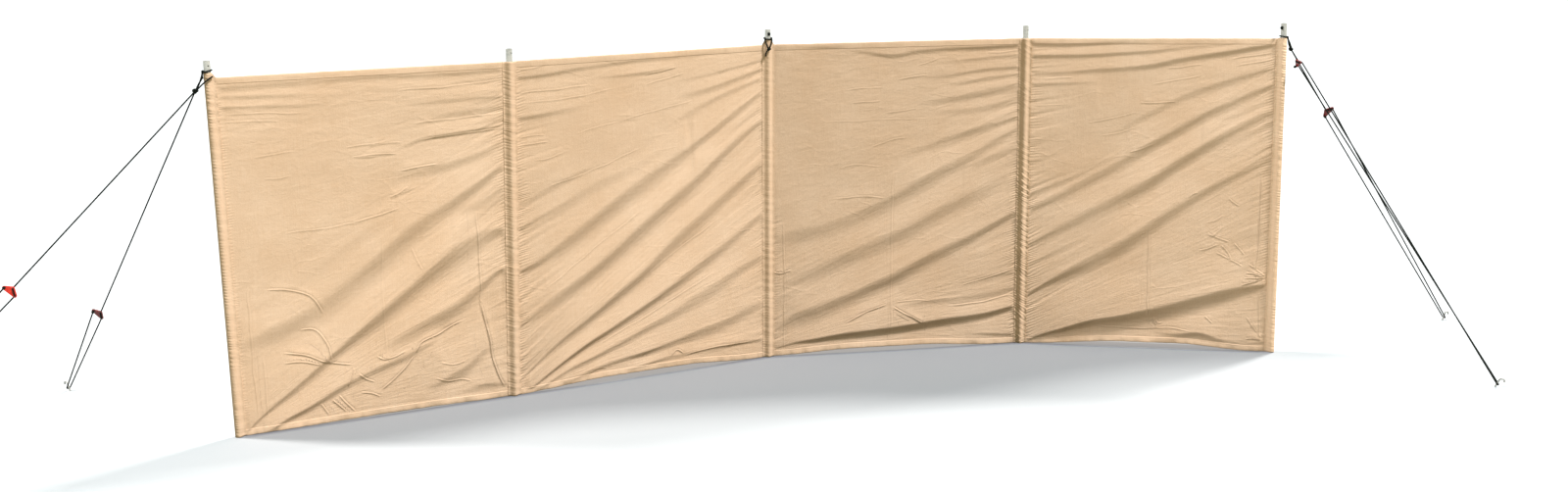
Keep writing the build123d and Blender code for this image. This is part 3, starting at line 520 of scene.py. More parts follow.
class Cloth:
    """Relief of one bay's cloth, the same for its panel and both hems."""

    def __init__(self, bay):
        self.bay = bay
        self.width = bay_width(bay)
        self.front = bay_front(bay)
        self.scale = np.array((self.width, HEIGHT))
        self.arch = BOTTOM_ARCH[bay]

    def folds(self, x, y):
        """Deep folds that the pull between the poles makes; between them the cloth swells again."""
        along = x / self.width
        shapes = []
        for index, fold in enumerate(FOLDS[self.bay]):
            places, heights, falls, steepness = np.array(fold).T
            seed = 40 + 30 * self.bay + index
            rise = through(places, heights, along) * HEIGHT + .0022 * wander(seed, .12)(x)
            tall = through(places, falls, along) / 1000
            steep = np.clip(through(places, steepness, along), 0, None)
            steep = steep * (1 + .12 * wander(seed + 400, .10)(x)) * STEEPNESS[self.bay]
            steep = steep * smooth(places[0] - .03, places[0] - .01, along)
            steep = steep * smooth(-places[-1] - .03, -places[-1] - .01, -along)
            shapes.append((rise, tall, steep * tall))
        out = np.zeros(x.shape)
        for rise, tall, drop in shapes:
            above = (HEIGHT + .03 - rise) ** -2
            below = (rise + .03) ** -2
            for other, _, fall in shapes:
                if other is not rise:
                    weight = fall / (fall + .25 * drop + 1e-6)
                    gap = other - rise
                    near = weight * (gap * gap + .0002) ** -1
                    above = above + near * smooth(-.002, .012, gap)
                    below = below + near * smooth(-.002, .012, -gap)
            # the crest over a fold and the hollow under it die away towards its neighbours
            up = np.clip((y - rise) / np.clip(above ** -.5, .6 * tall, .20), 0, 1)
            down = np.clip((rise - y) / np.clip(below ** -.5, .6 * tall, .20), 0, 1)
            step = smooth(0, 1, np.clip((y - rise) / np.maximum(tall, .004) + .60, 0, 1) ** 1.3)
            out += drop * (step - .5 - .5 * (1 - (1 - up) ** 1.25) + .5 * (1 - (1 - down) ** 1.25))
        return out

    def near_creases(self, x, y, margin):
        """For each crease: its number, width and height, which points are within the margin, how far
        above its line they are, and the share and the metres of the way along it."""
        for index, (places, width, height) in enumerate(CREASES[self.bay] + TOP_WRINKLES[self.bay]):
            line = spline_line(np.array(places) * self.scale)
            low, high = line.min(axis=0) - margin, line.max(axis=0) + margin
            close = (x > low[0]) & (x < high[0]) & (y > low[1]) & (y < high[1])
            above, share = beside_line(x[close], y[close], line)
            run = share * np.linalg.norm(np.diff(line, axis=0), axis=1).sum()
            number = index + 20 * self.bay
            bend = wander(140 + number, .05)(run) * CREASE_WANDER
            yield (number, width, height), close, above + bend, share, run

    def creases(self, x, y):
        """Narrow ridges: old fold marks, crinkles and the wrinkles under the top hem."""
        out = np.zeros(x.shape)
        for (number, width, height), close, above, share, run in self.near_creases(x, y, .03):
            ends = smooth(0, .2, share) * smooth(0, .2, 1 - share)
            uneven = 0.75 + 0.4 * wander(170 + number, .045)(run)
            out[close] += height / 1000 * ends * uneven * fold_profile(above * 1000 / width)
        return out

    def crease_marks(self, x, y):
        """Distance to the nearest crease, and how sharp it is there, for the material to draw."""
        best = np.full(x.shape, .05)
        sharp = np.zeros(x.shape)
        for (_, _, height), close, above, share, _ in self.near_creases(x, y, .025):
            ends = smooth(0, .12, share) * smooth(0, .12, 1 - share)
            nearer = np.abs(above) < np.abs(best[close])
            best[close] = np.where(nearer, above, best[close])
            sharp[close] = np.where(nearer, height * ends, sharp[close])
        return np.stack((best, sharp), -1)

    def ticks(self, x, y):
        """Count of the ticks up the nearer seam, and their strength, for the material to draw."""
        phase = np.zeros(x.shape)
        strength = np.zeros(x.shape)
        for index, (side, reach, spacing, low, high, amount, slope) in enumerate(TICKS[self.bay]):
            away = (x - SEAM_REACH) if side == "left" else (self.width - SEAM_REACH - x)
            own = (x < self.width / 2) if side == "left" else (x >= self.width / 2)
            lean = slope if side == "left" else -slope
            seed = 900 + 10 * self.bay + index
            uneven = .65 + .35 * wander(seed, .05)(y)
            here = amount * np.exp(-(np.clip(away, 0, None) / (reach * uneven)) ** 2)
            here = here * smooth(low - .03, low + .03, y / HEIGHT)
            here = here * smooth(-high - .03, .03 - high, -y / HEIGHT)
            count = (y - lean * away) / spacing + 1.1 * wander(seed + 4, .034)(y)
            taken = own & (here > strength)
            phase = np.where(taken, count, phase)
            strength = np.where(taken, here, strength)
        return np.stack((phase, strength), -1)

    def gathers(self, x, y):
        """Short puckers where the cloth is sewn to the sleeves."""
        out = np.zeros(x.shape)
        left, right = np.array(PULL[self.bay])[:, :2].T
        for index, (side, reach, spacing, height, low, high) in enumerate(GATHERS[self.bay]):
            seed = 300 + 10 * self.bay + index
            own, other = (left, right) if side == "left" else (right, left)
            away = (x - SEAM_REACH) if side == "left" else (self.width - SEAM_REACH - x)
            away = np.clip(away, 0, None)
            slope = np.interp(y / HEIGHT, own, other - own) * HEIGHT / self.width
            place = y - slope * away
            reach_here = reach * (1 + .55 * wander(seed, spacing * 1.3)(place))
            fade = np.exp(-(away / reach_here) ** 1.5)
            strength = .5 + .5 * wander(seed + 5, spacing * 1.9)(place)
            span = smooth(low - .03, low + .02, y / HEIGHT) * smooth(-high - .02, .03 - high, -y / HEIGHT)
            puckers = wander(seed + 9, spacing * .5)(place) + .5 * wander(seed + 17, spacing * .27)(place)
            out += height * fade * strength * span * (puckers - .3 * np.abs(puckers))
        return out

    def pull_height(self, x, y):
        """Height, at the right pole, of the line of pull through each point, and its strength."""
        across = x / self.width
        up = y / HEIGHT
        left, right, strength = np.array(PULL[self.bay]).T
        stations = left[:, None] * (1 - across.ravel()) + right[:, None] * across.ravel()
        index = np.clip((stations <= up.ravel()).sum(axis=0) - 1, 0, len(left) - 2)
        points = np.arange(index.size)
        low, high = stations[index, points], stations[index + 1, points]
        share = np.clip((up.ravel() - low) / np.maximum(high - low, 1e-6), 0, 1)
        height = right[index] + (right[index + 1] - right[index]) * share
        force = strength[index] + (strength[index + 1] - strength[index]) * share
        crowding = (high - low) / np.maximum(right[index + 1] - right[index], 1e-6)
        return height.reshape(x.shape), force.reshape(x.shape), crowding.reshape(x.shape)

    def streaks(self, x, y):
        """Small folds along the lines of pull, closer and lower where those run together."""
        height, force, crowding = self.pull_height(x, y)
        drift = height + .020 * wander(600 + self.bay, .11)(height)
        drift = drift + .006 * wander(606 + self.bay, .30)(x)
        middle_x, middle_y, wide, tall, calm = SMOOTH_PARTS[self.bay]
        rest = np.exp(-((x / self.width - middle_x) / wide) ** 4 - ((y / HEIGHT - middle_y) / tall) ** 4)
        force = force * (1 - calm * rest)
        out = np.zeros(x.shape)
        for index, (length, spacing, tall) in enumerate(STREAKS):
            seed = 610 + 10 * self.bay + index
            field = patches(seed, length, spacing)(x, drift * HEIGHT)
            broken = .55 + .45 * patches(seed + 5, length * .5, spacing * 3)(x, drift * HEIGHT)
            out += tall * broken * (field - .35 * np.abs(field))
        beside = np.exp(-((np.minimum(x, self.width - x) - SEAM_REACH) / .13) ** 2)
        return out * force * np.clip(crowding, .18, 1.15) * (.42 + .58 * beside)

    def crinkle(self, x, y):
        """Fine unevenness all over, in short level strokes."""
        lean = y - 0.18 * x
        fine = patches(500 + self.bay, .055, .010)(x, lean)
        finer = patches(520 + self.bay, .024, .006)(x, y - 0.08 * x)
        where = 0.5 + 0.5 * patches(540 + self.bay, .16, .12)(x, y)
        broad = patches(560 + self.bay, .32, .16)(x, y)
        return where * (0.00016 * fine + 0.00010 * finer) + 0.0012 * broad

    def relief(self, x, y):
        """How far the cloth stands out of the flat, in metres; still at the seams."""
        seam = np.minimum(x, self.width - x) - SEAM_REACH
        loose = smooth(-.004, .016, seam)
        edges = 0.45 + 0.55 * smooth(0, .022, np.minimum(y, HEIGHT - y))
        deep = (self.folds(x, y) * edges + self.crinkle(x, y)) * loose
        sewn = smooth(-.005, .018, seam)
        fine = self.creases(x, y) * edges + self.streaks(x, y) * (.5 + .5 * edges)
        return deep + fine * sewn + self.gathers(x, y) * smooth(-.006, .002, seam)

    def points(self, along, up, off=0.0):
        """Places in space of points of the cloth, moved by off towards the sheltered side."""
        lift, start, end = self.arch
        raised = lift * smooth(start - .12, start + .25, along) * smooth(end, end - .3, along)
        height = up * HEIGHT + raised * (1 - smooth(0, .35, up))
        out = self.relief(along * self.width, up * HEIGHT) + off
        return cloth_at(self.bay, along, height) + out[..., None] * self.front


CLOTHS = [Cloth(bay) for bay in range(len(BAYS))]


# ============================================================ making meshes

def mesh_object(name, points, faces, uv_sets):
    """Smooth mesh object at the origin; its UV sets have one place for each corner of its faces."""
    mesh = bpy.data.meshes.new(name)
    mesh.from_pydata([tuple(p) for p in points], [], faces)
    for layer_name, corners in uv_sets.items():
        layer = mesh.uv_layers.new(name=layer_name)
        layer.data.foreach_set("uv", np.asarray(corners, np.float32).ravel())
    mesh.shade_smooth()
    thing = bpy.data.objects.new(name, mesh)
    bpy.context.scene.collection.objects.link(thing)
    return thing


def grid_faces(rows, columns, offset=0, flip=False):
    faces = []
    for row in range(rows - 1):
        for column in range(columns - 1):
            a = offset + row * columns + column
            face = (a, a + 1, a + 1 + columns, a + columns)
            faces.append(face[::-1] if flip else face)
    return faces


def rim_of(rows, columns, offset=0):
    """Numbers of the points round the edge of a grid, in order."""
    rim = list(range(columns - 1))
    rim += [row * columns + columns - 1 for row in range(rows - 1)]
    rim += [(rows - 1) * columns + column for column in range(columns - 1, 0, -1)]
    rim += [row * columns for row in range(rows - 1, 0, -1)]
    return [offset + number for number in rim]


def closed_sheet(name, front, back, uv_sets):
    """Thin closed sheet from a grid of points and a second one behind every other of them."""
    rows, columns = front.shape[:2]
    back = back[::2, ::2]
    faces = grid_faces(rows, columns)
    faces += grid_faces(back.shape[0], back.shape[1], rows * columns, flip=True)
    fine = rim_of(rows, columns)
    coarse = rim_of(back.shape[0], back.shape[1], rows * columns)
    for step, start in enumerate(coarse):
        end = coarse[(step + 1) % len(coarse)]
        a, b, c = fine[2 * step], fine[2 * step + 1], fine[(2 * step + 2) % len(fine)]
        faces.append((c, b, a, start, end))
    points = np.concatenate((front.reshape(-1, 3), back.reshape(-1, 3)))
    corners = np.array([number for face in faces for number in face])
    both = {layer: np.concatenate((uv.reshape(-1, 2), uv[::2, ::2].reshape(-1, 2)))[corners]
            for layer, uv in uv_sets.items()}
    return mesh_object(name, points, faces, both)


def closed_rings(name, rings, uv_sets):
    """Closed skin round a stack of rings of points; UVs have one more column, where it meets itself."""
    count, around = rings.shape[:2]
    faces, corners = [], []
    for row in range(count - 1):
        for column in range(around):
            after = (column + 1) % around
            a, b = row * around + column, row * around + after
            faces.append((a, b, b + around, a + around))
            corners += [(row, column), (row, column + 1), (row + 1, column + 1), (row + 1, column)]
    for row, order in ((0, -1), (count - 1, 1)):
        faces.append(tuple(range(row * around, row * around + around))[::order])
        corners += [(row, 0)] * around
    rows, columns = np.array(corners).T
    return mesh_object(name, rings.reshape(-1, 3), faces,
                       {layer: uv[rows, columns] for layer, uv in uv_sets.items()})


def ease_columns(count, low, high, crowding=0.45):
    """Shares from low to high that stand closer together near both ends."""
    even = np.linspace(0, 1, count)
    eased = even - crowding / (2 * math.pi) * np.sin(2 * math.pi * even)
    return low + (high - low) * eased


def face_outwards(thing):
    """Turns a closed mesh's faces outwards."""
    bpy.ops.object.select_all(action="DESELECT")
    thing.select_set(True)
    bpy.context.view_layer.objects.active = thing
    bpy.ops.object.mode_set(mode="EDIT")
    bpy.ops.mesh.select_all(action="SELECT")
    bpy.ops.mesh.normals_make_consistent(inside=False)
    bpy.ops.object.mode_set(mode="OBJECT")
    thing.select_set(False)


# ============================================================ panels, hems and sleeves

PANEL_COLUMNS = 233
PANEL_ROWS = 281
CLOTH_SHIFT = (3.7, 1.9)      # how far each bay's weave is moved on, so that no two bays match
PULL_SHIFT = 2.3


def make_panel(bay):
    """Canvas of one bay, from seam to seam and from hem to hem."""
    cloth = CLOTHS[bay]
    inset = (SEAM_REACH - SEAM_TUCK) / cloth.width
    tuck = (HEM - 0.004) / HEIGHT
    along = ease_columns(PANEL_COLUMNS, inset, 1 - inset)
    up = ease_columns(PANEL_ROWS, tuck, 1 - tuck, 0.2)
    along, up = np.meshgrid(along, up)
    front = cloth.points(along, up, CLOTH / 2)
    back = cloth.points(along, up, -CLOTH / 2)
    x, y = along * cloth.width, up * HEIGHT
    uv_sets = {
        "cloth": np.stack((x + CLOTH_SHIFT[0] * bay, y + CLOTH_SHIFT[1] * bay), -1),
        "pull": np.stack((x + PULL_SHIFT * bay, cloth.pull_height(x, y)[0] * HEIGHT), -1),
        "creases": cloth.crease_marks(x, y),
        "ticks": cloth.ticks(x, y),
    }
    return closed_sheet(BAYS[bay] + "_cloth", front, back, uv_sets)


HEM_COLUMNS = 200


def make_hem(bay, top):
    """Edge turned over twice and stitched along its inner side."""
    cloth = CLOTHS[bay]
    inset = (SEAM_REACH - SEAM_TUCK) / cloth.width
    along = ease_columns(HEM_COLUMNS, inset, 1 - inset)
    half = HEM_CLOTH / 2
    inner = 0.45 * half
    groove = 0.004
    dip = .80
    section = ((0.0, -half * .55), (-.0006, 0.0), (0.0, half * .55), (.003, half), (.010, half * .95),
               (HEM - groove * 1.8, half), (HEM - groove, half * dip), (HEM - groove * .5, half * .9),
               (HEM, inner), (HEM, -inner), (HEM - groove * .5, -half * .9), (HEM - groove, -half * dip),
               (HEM - groove * 1.8, -half), (.010, -half * .95), (.003, -half))
    drawn = .6 if top else 1.7
    ripple = wander(700 + bay + 10 * top, .011)(along * cloth.width) * .0007 * drawn
    ripple += wander(720 + bay + 10 * top, .028)(along * cloth.width) * .0008 * drawn
    wave = wander(740 + bay + 10 * top, .05)(along * cloth.width) * .0009 * drawn
    wave += wander(760 + bay + 10 * top, .017)(along * cloth.width) * .0005 * drawn
    rings = []
    for inward, off in section:
        edge = smooth(HEM, 0, inward)
        place = (HEIGHT - inward if top else inward) + wave * edge * (1 if top else .8)
        place = np.clip(place, GROUND_GAP, None)
        rings.append(cloth.points(along, place / HEIGHT, off) + (ripple * edge)[:, None] * cloth.front)
    rings = np.array(rings).transpose(1, 0, 2)
    uv = np.zeros(rings.shape[:1] + (len(section) + 1, 2))
    uv[..., 0] = (along * cloth.width)[:, None] + CLOTH_SHIFT[0] * bay
    uv[..., 1] = [inward + CLOTH_SHIFT[1] * bay for inward, _ in section + section[:1]]
    name = BAYS[bay] + ("_top_edge" if top else "_bottom_edge")
    thing = closed_rings(name, rings, {"cloth": uv})
    face_outwards(thing)
    return thing


# Puckers of each sleeve: spacing, slope and height over its whole length, in metres, and how many
# times stronger they are low down, in the middle and high up.
SLEEVE_PUCKERS = (
    (.034, .15, .0007, 1.0, 0.7, 1.6),
    (.030, .30, .0006, 1.0, 1.4, 1.0),
    (.030, .20, .0005, 1.4, 1.0, 0.9),
    (.024, .55, .0011, 1.5, 1.3, 0.7),
    (.026, .30, .0008, 0.8, 1.0, 1.5),
)
# Fine ticks of each sleeve: spacing, slope, strength low down, in the middle and high up, and the
# share of it on the left and on the right of the pole.
SLEEVE_TICKS = (
    (.0110, .15, .8, .8, 1.2, 1.3, .3),
    (.0115, .30, .5, .8, .7, 1.0, .3),
    (.0115, .20, .5, .3, .5, 1.0, .3),
    (.0100, .60, 1.5, 1.4, .5, 1.2, .6),
    (.0105, .20, .9, .8, .9, .6, 1.2),
)
SLEEVE_ROWS = 210
SLEEVE_AROUND = 40
SLEEVE_SHIFT = 20             # keeps the sleeves' weave apart from the bays'
LINING_GAP = 0.0003           # between the pole and the sleeve's turned-in top
LINING_DROPS = (.0008, .0128)     # how far under the sleeve's top its turned-in rings lie


def sleeve_outline(first, last):
    """Outline of a sleeve seen from above: distance along the windbreak, and out of its faces."""
    sweep = np.linspace(0, math.pi, SLEEVE_AROUND // 2 + 1)
    lateral = np.cos(sweep)                                # 1 at the right seam, -1 at the left
    x = np.where(lateral > 0, lateral * (SLEEVE_RADIUS if last else SEAM_REACH),
                 lateral * (SLEEVE_RADIUS if first else SEAM_REACH))
    sewn = np.where(x > 0, not last, not first)
    bulge = np.cos(math.pi / 2 * np.clip(np.abs(x) / BULGE_REACH, 0, 1)) ** 2
    drawn = SEAM_HALF + (SLEEVE_RADIUS - SEAM_HALF) * bulge
    wrapped = np.sqrt(np.clip(SLEEVE_RADIUS ** 2 - x ** 2, 0, None))
    depth = np.where(sewn, drawn, wrapped)
    # the back mirrors the front; where the cloth wraps the pole, both share one point
    behind = depth[::-1] > 1e-6
    return np.concatenate((x, x[::-1][behind])), np.concatenate((depth, -depth[::-1][behind]))


def sleeve_puckers(index, x, z, share):
    """Puckers round a pocket, and slack that comes and goes down its length."""
    spacing, slope, height, low, mid, high = SLEEVE_PUCKERS[index]
    strength = np.interp(share, (0, .5, 1), (low, mid, high))
    place = z + slope * x
    ripple = np.sin(2 * math.pi * (place / spacing + .6 * wander(800 + index, spacing * 1.6)(place)))
    ripple = ripple * (.6 + .4 * wander(820 + index, spacing * 2.3)(place))
    slack = .0006 * wander(840 + index, .09)(z) + .0004
    return height * strength * (ripple + .35) + slack


def sleeve_ticks(index, lateral, up):
    """Count of the ticks up a sleeve, and their strength, for the material to draw."""
    spacing, slope, low, mid, high, on_left, on_right = SLEEVE_TICKS[index]
    amount = np.interp(up, (0, HEIGHT / 2, HEIGHT), (low, mid, high))
    amount = amount * (on_right + (on_left - on_right) * smooth(.004, -.006, lateral))
    amount = amount * (.65 + .5 * wander(880 + index, .06)(up))
    count = (up + slope * lateral) / spacing + 1.2 * wander(870 + index, .03)(up)
    return np.stack((count, amount), -1)


def turned_in(index, x, depth, facing):
    """Rings that carry a sleeve's top in over its wall and down inside it, clear of the tube."""
    radius = POLE_RADIUS + LINING_GAP
    angles = np.arctan2(depth, x)
    side = np.array((-facing[1], facing[0], 0.0))
    rings = []
    for drop in LINING_DROPS:
        ring = axis_at(index, np.full(len(x), SLEEVE_TOPS[index] - drop))
        rings.append(ring + side * (np.cos(angles) * radius)[:, None]
                     + facing * (np.sin(angles) * radius)[:, None])
    return np.array(rings)


def make_sleeve(index):
    """Pocket of canvas round a pole, drawn flat to a seam beside each bay that it joins."""
    first, last = index == 0, index == len(POLES) - 1
    x, depth = sleeve_outline(first, last)
    rise = SLEEVE_TOPS[index] - HEIGHT
    share = np.linspace(0, 1, SLEEVE_ROWS)[:, None]
    # above the canvas only the part round the pole is left
    rim = HEIGHT + rise * (1 - smooth(SLEEVE_RADIUS * .97, SLEEVE_RADIUS * 1.3, np.abs(x)))
    z = np.clip(share * rim, GROUND_GAP, None)
    x, depth = np.broadcast_to(x, z.shape), np.broadcast_to(depth, z.shape)
    # an end sleeve carries on in line with its one bay
    centre = axis_at(index, z)
    to_right = unit(centre - axis_at(index - 1, z) if last else axis_at(index + 1, z) - centre)
    to_left = unit(centre - axis_at(index + 1, z) if first else axis_at(index - 1, z) - centre)
    level = np.where((x > 0)[..., None], to_right * x[..., None], -to_left * x[..., None])
    right = bay_front(min(index, len(BAYS) - 1))
    left = bay_front(max(index - 1, 0))
    turn = smooth(-SEAM_REACH, SEAM_REACH, x)[..., None]
    normal = unit(left * (1 - turn) + right * turn)
    free = np.sign(depth) * (np.abs(depth) > SEAM_HALF * .5)
    off = depth + free * sleeve_puckers(index, x, z, share)
    # beside the seams the pocket follows the gathered cloth of the bay
    for side, bay in ((1, index), (-1, index - 1)):
        if 0 <= bay < len(BAYS):
            cloth = CLOTHS[bay]
            near = smooth(BULGE_REACH * .8, SEAM_REACH, side * x)
            from_left = np.abs(x) if side > 0 else cloth.width - np.abs(x)
            off = off + near * cloth.gathers(from_left, z)
    outer = centre + level + normal * off[..., None]
    facing = (left + right) / np.linalg.norm(left + right)
    rings = np.concatenate((outer, turned_in(index, x[0], depth[0], facing)))
    around = np.concatenate(((0,), np.cumsum(np.hypot(np.diff(x[0]), np.diff(depth[0])))))
    around = np.append(around, around[-1] + 2 * SEAM_HALF)
    run = np.append(share[:, 0] * HEIGHT, (HEIGHT + .004, HEIGHT + .016))
    uv_sets = {
        "cloth": np.stack(np.meshgrid(around + SLEEVE_SHIFT + index, run), -1),
        "ticks": sleeve_ticks(index, np.append(x[0], x[0, 0]), run[:, None]),
    }
    thing = closed_rings(POLES[index] + "_pocket", rings, uv_sets)
    face_outwards(thing)
    return thing


# ============================================================ ropes

def sweep_rope(name, lines, radius=ROPE_RADIUS, around=12, closed=False):
    """Round rope along one or more lines of points, in one mesh; UVs run round and along it."""
    points, faces, uvs = [], [], []
    for line in lines:
        line = np.array(line, float)
        count = len(line)
        if closed:
            ahead = np.roll(line, -1, axis=0) - np.roll(line, 1, axis=0)
        else:
            ahead = np.gradient(line, axis=0)
        ahead /= np.linalg.norm(ahead, axis=1)[:, None]
        side = np.cross(ahead[0], (0.31, 0.17, 0.93))
        side /= np.linalg.norm(side)
        offset = len(points)
        travelled = 0.0
        marks = []
        for index in range(count):
            side = side - ahead[index] * side.dot(ahead[index])
            side /= np.linalg.norm(side)
            other = np.cross(ahead[index], side)
            if index:
                travelled += np.linalg.norm(line[index] - line[index - 1])
            marks.append(travelled)
            for corner in range(around):
                angle = 2 * math.pi * corner / around
                points.append(line[index] + radius * (side * math.cos(angle) + other * math.sin(angle)))
        spans = count if closed else count - 1
        for index in range(spans):
            after = (index + 1) % count
            end_mark = marks[after] if after else travelled + np.linalg.norm(line[0] - line[-1])
            for corner in range(around):
                follow = (corner + 1) % around
                a, b = offset + index * around + corner, offset + index * around + follow
                c, d = offset + after * around + follow, offset + after * around + corner
                faces.append((a, b, c, d))
                u0, u1 = corner / around, (corner + 1) / around
                uvs += [(u0, marks[index]), (u1, marks[index]), (u1, end_mark), (u0, end_mark)]
        if not closed:
            for index, order in ((0, -1), (count - 1, 1)):
                ring = [offset + index * around + corner for corner in range(around)][::order]
                faces.append(tuple(ring))
                uvs += [(0.0, marks[index])] * around
    return mesh_object(name, points, faces, {"cloth": uvs})


def turned(angle):
    """Unit vector in the ground plane at a bearing in degrees from +X."""
    return Vector((math.cos(math.radians(angle)), math.sin(math.radians(angle)), 0))


def rounded_route(points, radii, steps=6):
    """Route of straight runs with an arc of its own radius at each inner corner."""
    route = [points[0]]
    for before, corner, after, radius in zip(points, points[1:], points[2:], radii):
        back, ahead = (before - corner).normalized(), (after - corner).normalized()
        half = back.angle(ahead) / 2
        reach = radius / math.tan(half)
        middle = corner + (back + ahead).normalized() * (radius / math.sin(half))
        start, end = corner + back * reach - middle, corner + ahead * reach - middle
        for step in range(steps + 1):
            arm = start.lerp(end, step / steps)
            route.append(middle + arm.normalized() * radius)
    route.append(points[-1])
    return route


def divided(route, longest=0.05):
    """Route with its long runs divided, so that the rope's lay stays even along it."""
    line = [route[0]]
    for a, b in zip(route, route[1:]):
        parts = max(1, math.ceil((b - a).length / longest))
        line += [a.lerp(b, part / parts) for part in range(1, parts + 1)]
    return line


def knot_line(centre, axis, across, size, turns=2, points=72, flat=0.8):
    """Line of a pulled-tight overhand knot of about this diameter, its length along axis."""
    axis, across = axis.normalized(), across.normalized()
    third = axis.cross(across).normalized()
    across = third.cross(axis).normalized()
    ring = size / 2 - ROPE_RADIUS
    line = []
    for step in range(points):
        a = 2 * math.pi * step / points
        wide = ring * (0.60 + 0.40 * math.cos(3 * a))
        x = wide * math.cos(turns * a)
        y = wide * math.sin(turns * a) * flat
        z = ring * 0.62 * math.sin(3 * a)
        line.append(centre + axis * x + across * y + third * z)
    return line


# Each guy as it is rigged: its end, its peg's offset from the pole's foot, the runner's distance
# from the knot, its turn about the rope and its skew.
GUYS = {
    "left_front": ("left", (-1.181, -0.270), 0.821, -80.0, 0.0),
    "left_back": ("left", (-0.651, 0.692), 1.051, -135.0, 30.0),
    "right_back": ("right", (0.915, 0.229), 0.306, 122.0, -20.0),
    "right_front": ("right", (0.548, -0.610), 0.050, 134.0, 0.0),
}
END_POLE = {"left": 0, "right": len(POLES) - 1}
PEG_RADIUS = 0.003
PEG_ROPE_HEIGHT = 0.014
PEG_LEAN = math.radians(25)
ROPE_CLEARANCE = 0.0003
RUNNER_THICKNESS = 0.005
RUNNER_HALF_SPACING = 0.020
RUNNER_HOLE_RISE = 0.014
RUNNER_BEND = 0.0031
STOPPER_STAND = 0.003
ROPE_STAND = RUNNER_THICKNESS / 2 + ROPE_CLEARANCE + ROPE_RADIUS
HUG = POLE_RADIUS + ROPE_RADIUS + ROPE_CLEARANCE        # pole's axis to the middle of a rope round it
BAND_RISE = 0.004             # sleeve's top to the rope round the pole
TIP_KNOT_STAND = 0.0058       # tube to the middle of the knot outside its cross hole


def node_centre(node):
    low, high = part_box(node)
    return (low + high) / 2


class Guy:
    """Places along one guy rope, from its knot to its peg."""

    def __init__(self, end, peg_offset, runner_distance, runner_turn, runner_skew):
        self.knot = node_centre(end + "_guy_knot")
        foot = FEET[END_POLE[end]]
        self.peg = foot + Vector((peg_offset[0], peg_offset[1], PEG_ROPE_HEIGHT))
        self.run = (self.peg - self.knot).normalized()
        self.outward = Vector((self.run.x, self.run.y, 0)).normalized()
        self.across = Vector((0, 0, 1)).cross(self.run).normalized()
        self.width = Matrix.Rotation(math.radians(runner_turn), 3, self.run) @ self.across
        self.tip = self.knot + self.run * runner_distance
        self.face = self.width.cross(self.run)
        self.width = Matrix.Rotation(math.radians(runner_skew), 3, self.face) @ self.width
        self.down = self.face.cross(self.width)

    def at(self, x, y, z):
        """Place on the runner: across it, down the rope, and out of its face."""
        return self.tip + self.width * x + self.down * y + self.face * z

    def stopper(self):
        return self.at(-RUNNER_HALF_SPACING, RUNNER_HOLE_RISE, -2 * ROPE_STAND - STOPPER_STAND)

    def route(self):
        """Down the guy, through the runner's top and base holes, round the peg and back."""
        stem = self.outward * math.sin(PEG_LEAN) + Vector((0, 0, math.cos(PEG_LEAN)))
        tilt = self.run.cross(self.across).angle(stem)
        tilt = min(tilt, math.pi - tilt)
        turn = (PEG_RADIUS + ROPE_CLEARANCE + ROPE_RADIUS) / math.cos(tilt)
        corner = self.peg + self.run * turn
        side = self.across * turn
        if self.width.dot(self.across) < 0:
            side = -side
        back = -2 * ROPE_STAND
        points = [
            self.knot,
            self.at(0, 0, 0),
            self.at(0, 0, back),
            self.at(RUNNER_HALF_SPACING, RUNNER_HOLE_RISE, back),
            self.at(RUNNER_HALF_SPACING, RUNNER_HOLE_RISE, 0),
            corner + side,
            corner - side,
            self.at(-RUNNER_HALF_SPACING, RUNNER_HOLE_RISE, 0),
            self.stopper(),
        ]
        bends = [RUNNER_BEND] * 4 + [turn * 0.97] * 2 + [RUNNER_BEND]
        return divided(rounded_route(points, bends))


RIGGED = {name: Guy(*values) for name, values in GUYS.items()}


def make_guy_rope(name):
    """One guy rope with the stopper knot that holds it behind its runner."""
    guy = RIGGED[name]
    rope = sweep_rope(name + "_line", [guy.route()])
    knot = knot_line(guy.stopper(), guy.face, guy.width, 0.0125, points=60)
    stopper = sweep_rope(name + "_stopper_knot", [knot], around=10, closed=True)
    return rope, stopper


def band_line(index, tilt_towards, tilt, steps=36):
    """Ring of rope round a pole, just above its sleeve, tilted up towards a bearing."""
    centre = Vector(axis_at(index, SLEEVE_TOPS[index] + BAND_RISE))
    line = []
    for step in range(steps):
        out = turned(360 * step / steps)
        lift = tilt * out.dot(turned(tilt_towards))
        line.append(centre + out * HUG + Vector((0, 0, lift)))
    return line


def strand(points, steps=9):
    """Smooth strand of rope through a few points."""
    line = spline_line([tuple(p) for p in points], steps)
    return [Vector(p) for p in line]


def pole_side(index, z, bearing, out):
    return Vector(axis_at(index, z)) + turned(bearing) * out


